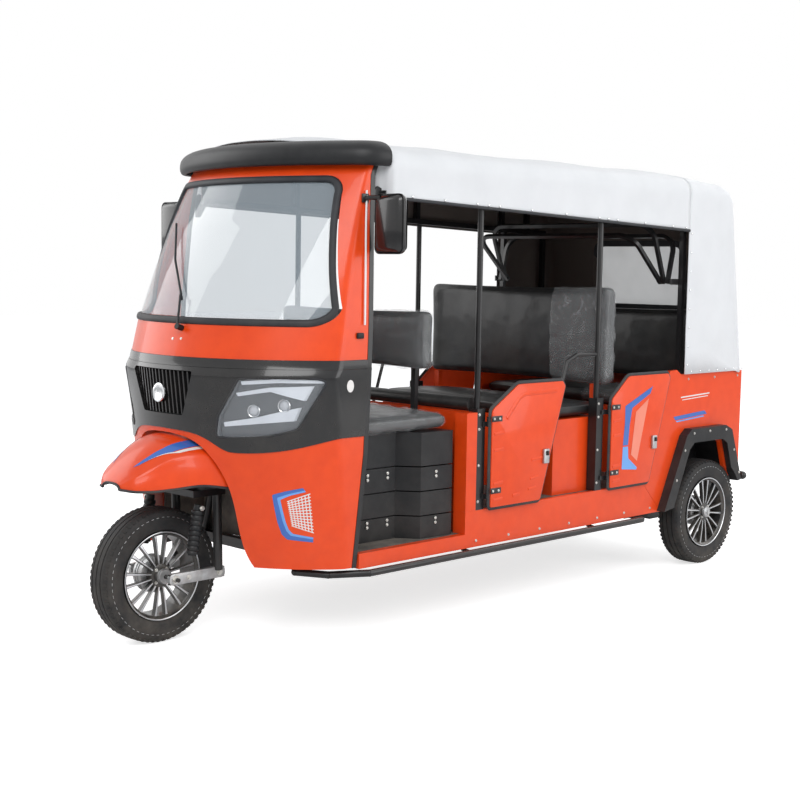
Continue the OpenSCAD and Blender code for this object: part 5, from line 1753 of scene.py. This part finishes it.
mirrorPlace = {"x": 682, "y": 568, "z": 1605}
for side in (-1, 1):
    tag = "Left" if side > 0 else "Right"
    mp = mirrorPlace
    shell = roundedBox("shell", (side * mp["x"], mp["y"], mp["z"]), (150, 60, 222), 26, "glossBlack", None, 6)
    for v in shell.data.vertices:
        if v.co.y * 1000 + 1490 < mp["y"] - 4:
            v.co.y += 0.012 * (((v.co.x * 1000 - side * mp["x"]) / 75) ** 2 + ((v.co.z * 1000 - mp["z"]) / 111) ** 2)
    arm = sweep("arm", [(side * 576, 544, 1701), (side * 600, 550, 1703), (side * 640, 562, 1702)], 9,
            mat["blackTube"], None, sides=16)
    foot = roundedBox("foot", (side * 576, 544, 1701), (8, 32, 34), 2, "blackTube", None, 2)
    o = joinPieces("mirror" + tag, [shell, arm, foot])
    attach(o, "chassis")
    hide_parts("mirrors")
    face = rectOutline(64, mp["z"] - 98, mp["z"] + 98, 20)
    verts = [at(side * mp["x"] + a, mp["y"] + 31, b) for a, b in face]
    g = meshPiece("mirrorGlass" + tag, verts, [tuple(range(len(verts)))], "chassis", mat["brightMetal"],
            smooth=False)
    if g.data.polygons[0].normal.y < 0:
        g.data.flip_normals()

for side in (-1, 1):
    tag = "Left" if side > 0 else "Right"
    sweep("grip" + tag, [(side * (226 + 104 * t), 375.3 + 24.7 * t, 1144 - 15 * t) for t in np.linspace(0, 1, 14)],
            [16 + (1.2 if k % 2 else 0) for k in range(14)], mat["sealRubber"], "fork_body", sides=20)
    roundedBox("switchBox" + tag, (side * 204, 368, 1150), (44, 40, 46), 8, "mouldedBlack", "fork_body")
    sweep("lever" + tag, [(side * 196, 350, 1150), (side * 216, 326, 1146), (side * 320, 338, 1134)], [6, 6, 4.5],
            mat["castSilver"], "fork_body")
    roundedBox("tailRed" + tag, (side * 495, 3210, 850), (104, 14, 70), 6, "redLens", "chassis")
    roundedBox("tailAmber" + tag, (side * 495, 3210, 780), (104, 14, 56), 6, "amberLens", "chassis")
    roundedBox("tailClear" + tag, (side * 495, 3210, 724), (104, 14, 42), 6, "pale", "chassis")
roundedBox("plainPlate", (0, 3185.2, 700), (330, 2, 190), 0.8, "pale", "chassis", 1)
for k, (x, r) in enumerate(((-72, 30), (0, 38), (72, 30))):
    g = lathe("gauge%d" % k, [(0, 0.4), (4, 0.5), (4, r - 6), (8, r - 4), (8, r), (0, r)], [mat["glossBlack"]],
            closed=False, steps=40)
    g.data.transform(Matrix.Translation(at(x, 213, 1121)) @ x1.rotation_difference(Vector((0, 1,
            0.25))).to_matrix().to_4x4())
    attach(g, "chassis")
for side, x in ((1, 130), (-1, -130)):
    sweep("pedalArm%d" % (side + 1), [(x, 474, 420), (x, 500, 440), (x, 540, 420), (x, 560, 392)], 8,
            mat["blackTube"], "chassis")
    roundedBox("pedalPad%d" % (side + 1), (x, 566, 388), (70, 14, 44), 5, "sealRubber", "chassis",
            turn=Matrix.Rotation(0.5, 4, "X"))


def filmOver(padName, name, keep, push=5.0):
    # loose clear wrap round a pad, crumpled over its skin
    src = bpy.data.objects[padName]
    me = src.data.copy()
    me.name = name
    o = bpy.data.objects.new(name, me)
    scene.collection.objects.link(o)
    bm = bmesh.new()
    bm.from_mesh(me)
    bmesh.ops.delete(bm, geom=[f for f in bm.faces if not keep(f.calc_center_median() * 1000)], context="FACES")
    bm.normal_update()
    for v in bm.verts:
        p = v.co * 1000
        fold = abs(noise.noise(p / 70)) * 2 + abs(noise.noise(p / 28)) * 1.2
        v.co += v.normal * (push * (0.35 + fold)) / 1000
    bm.to_mesh(me)
    bm.free()
    me.materials.clear()
    me.materials.append(mat["wrapFilm"])
    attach(o, "chassis")
    return o


# each cut is the covered face of the solid pad, with what hangs over its edges
filmOver("driverCushion", "driverCushionFilm", lambda p: p.z > 800)  # 1040 x 472, 79 over all four edges
filmOver("driverBackrest", "driverBackrestFilm", lambda p: p.x > 150 and p.y < -428)  # 300 x 236, 92 over three edges
filmOver("middleBackrest", "middleBackrestFilm", lambda p: p.x > 250 and p.y < 664)  # 306 x 440, 102 over three edges
filmOver("rearCushion", "rearCushionFilm", lambda p: p.x > 100 and p.z > 800)  # 442 x 430, 75 over three edges
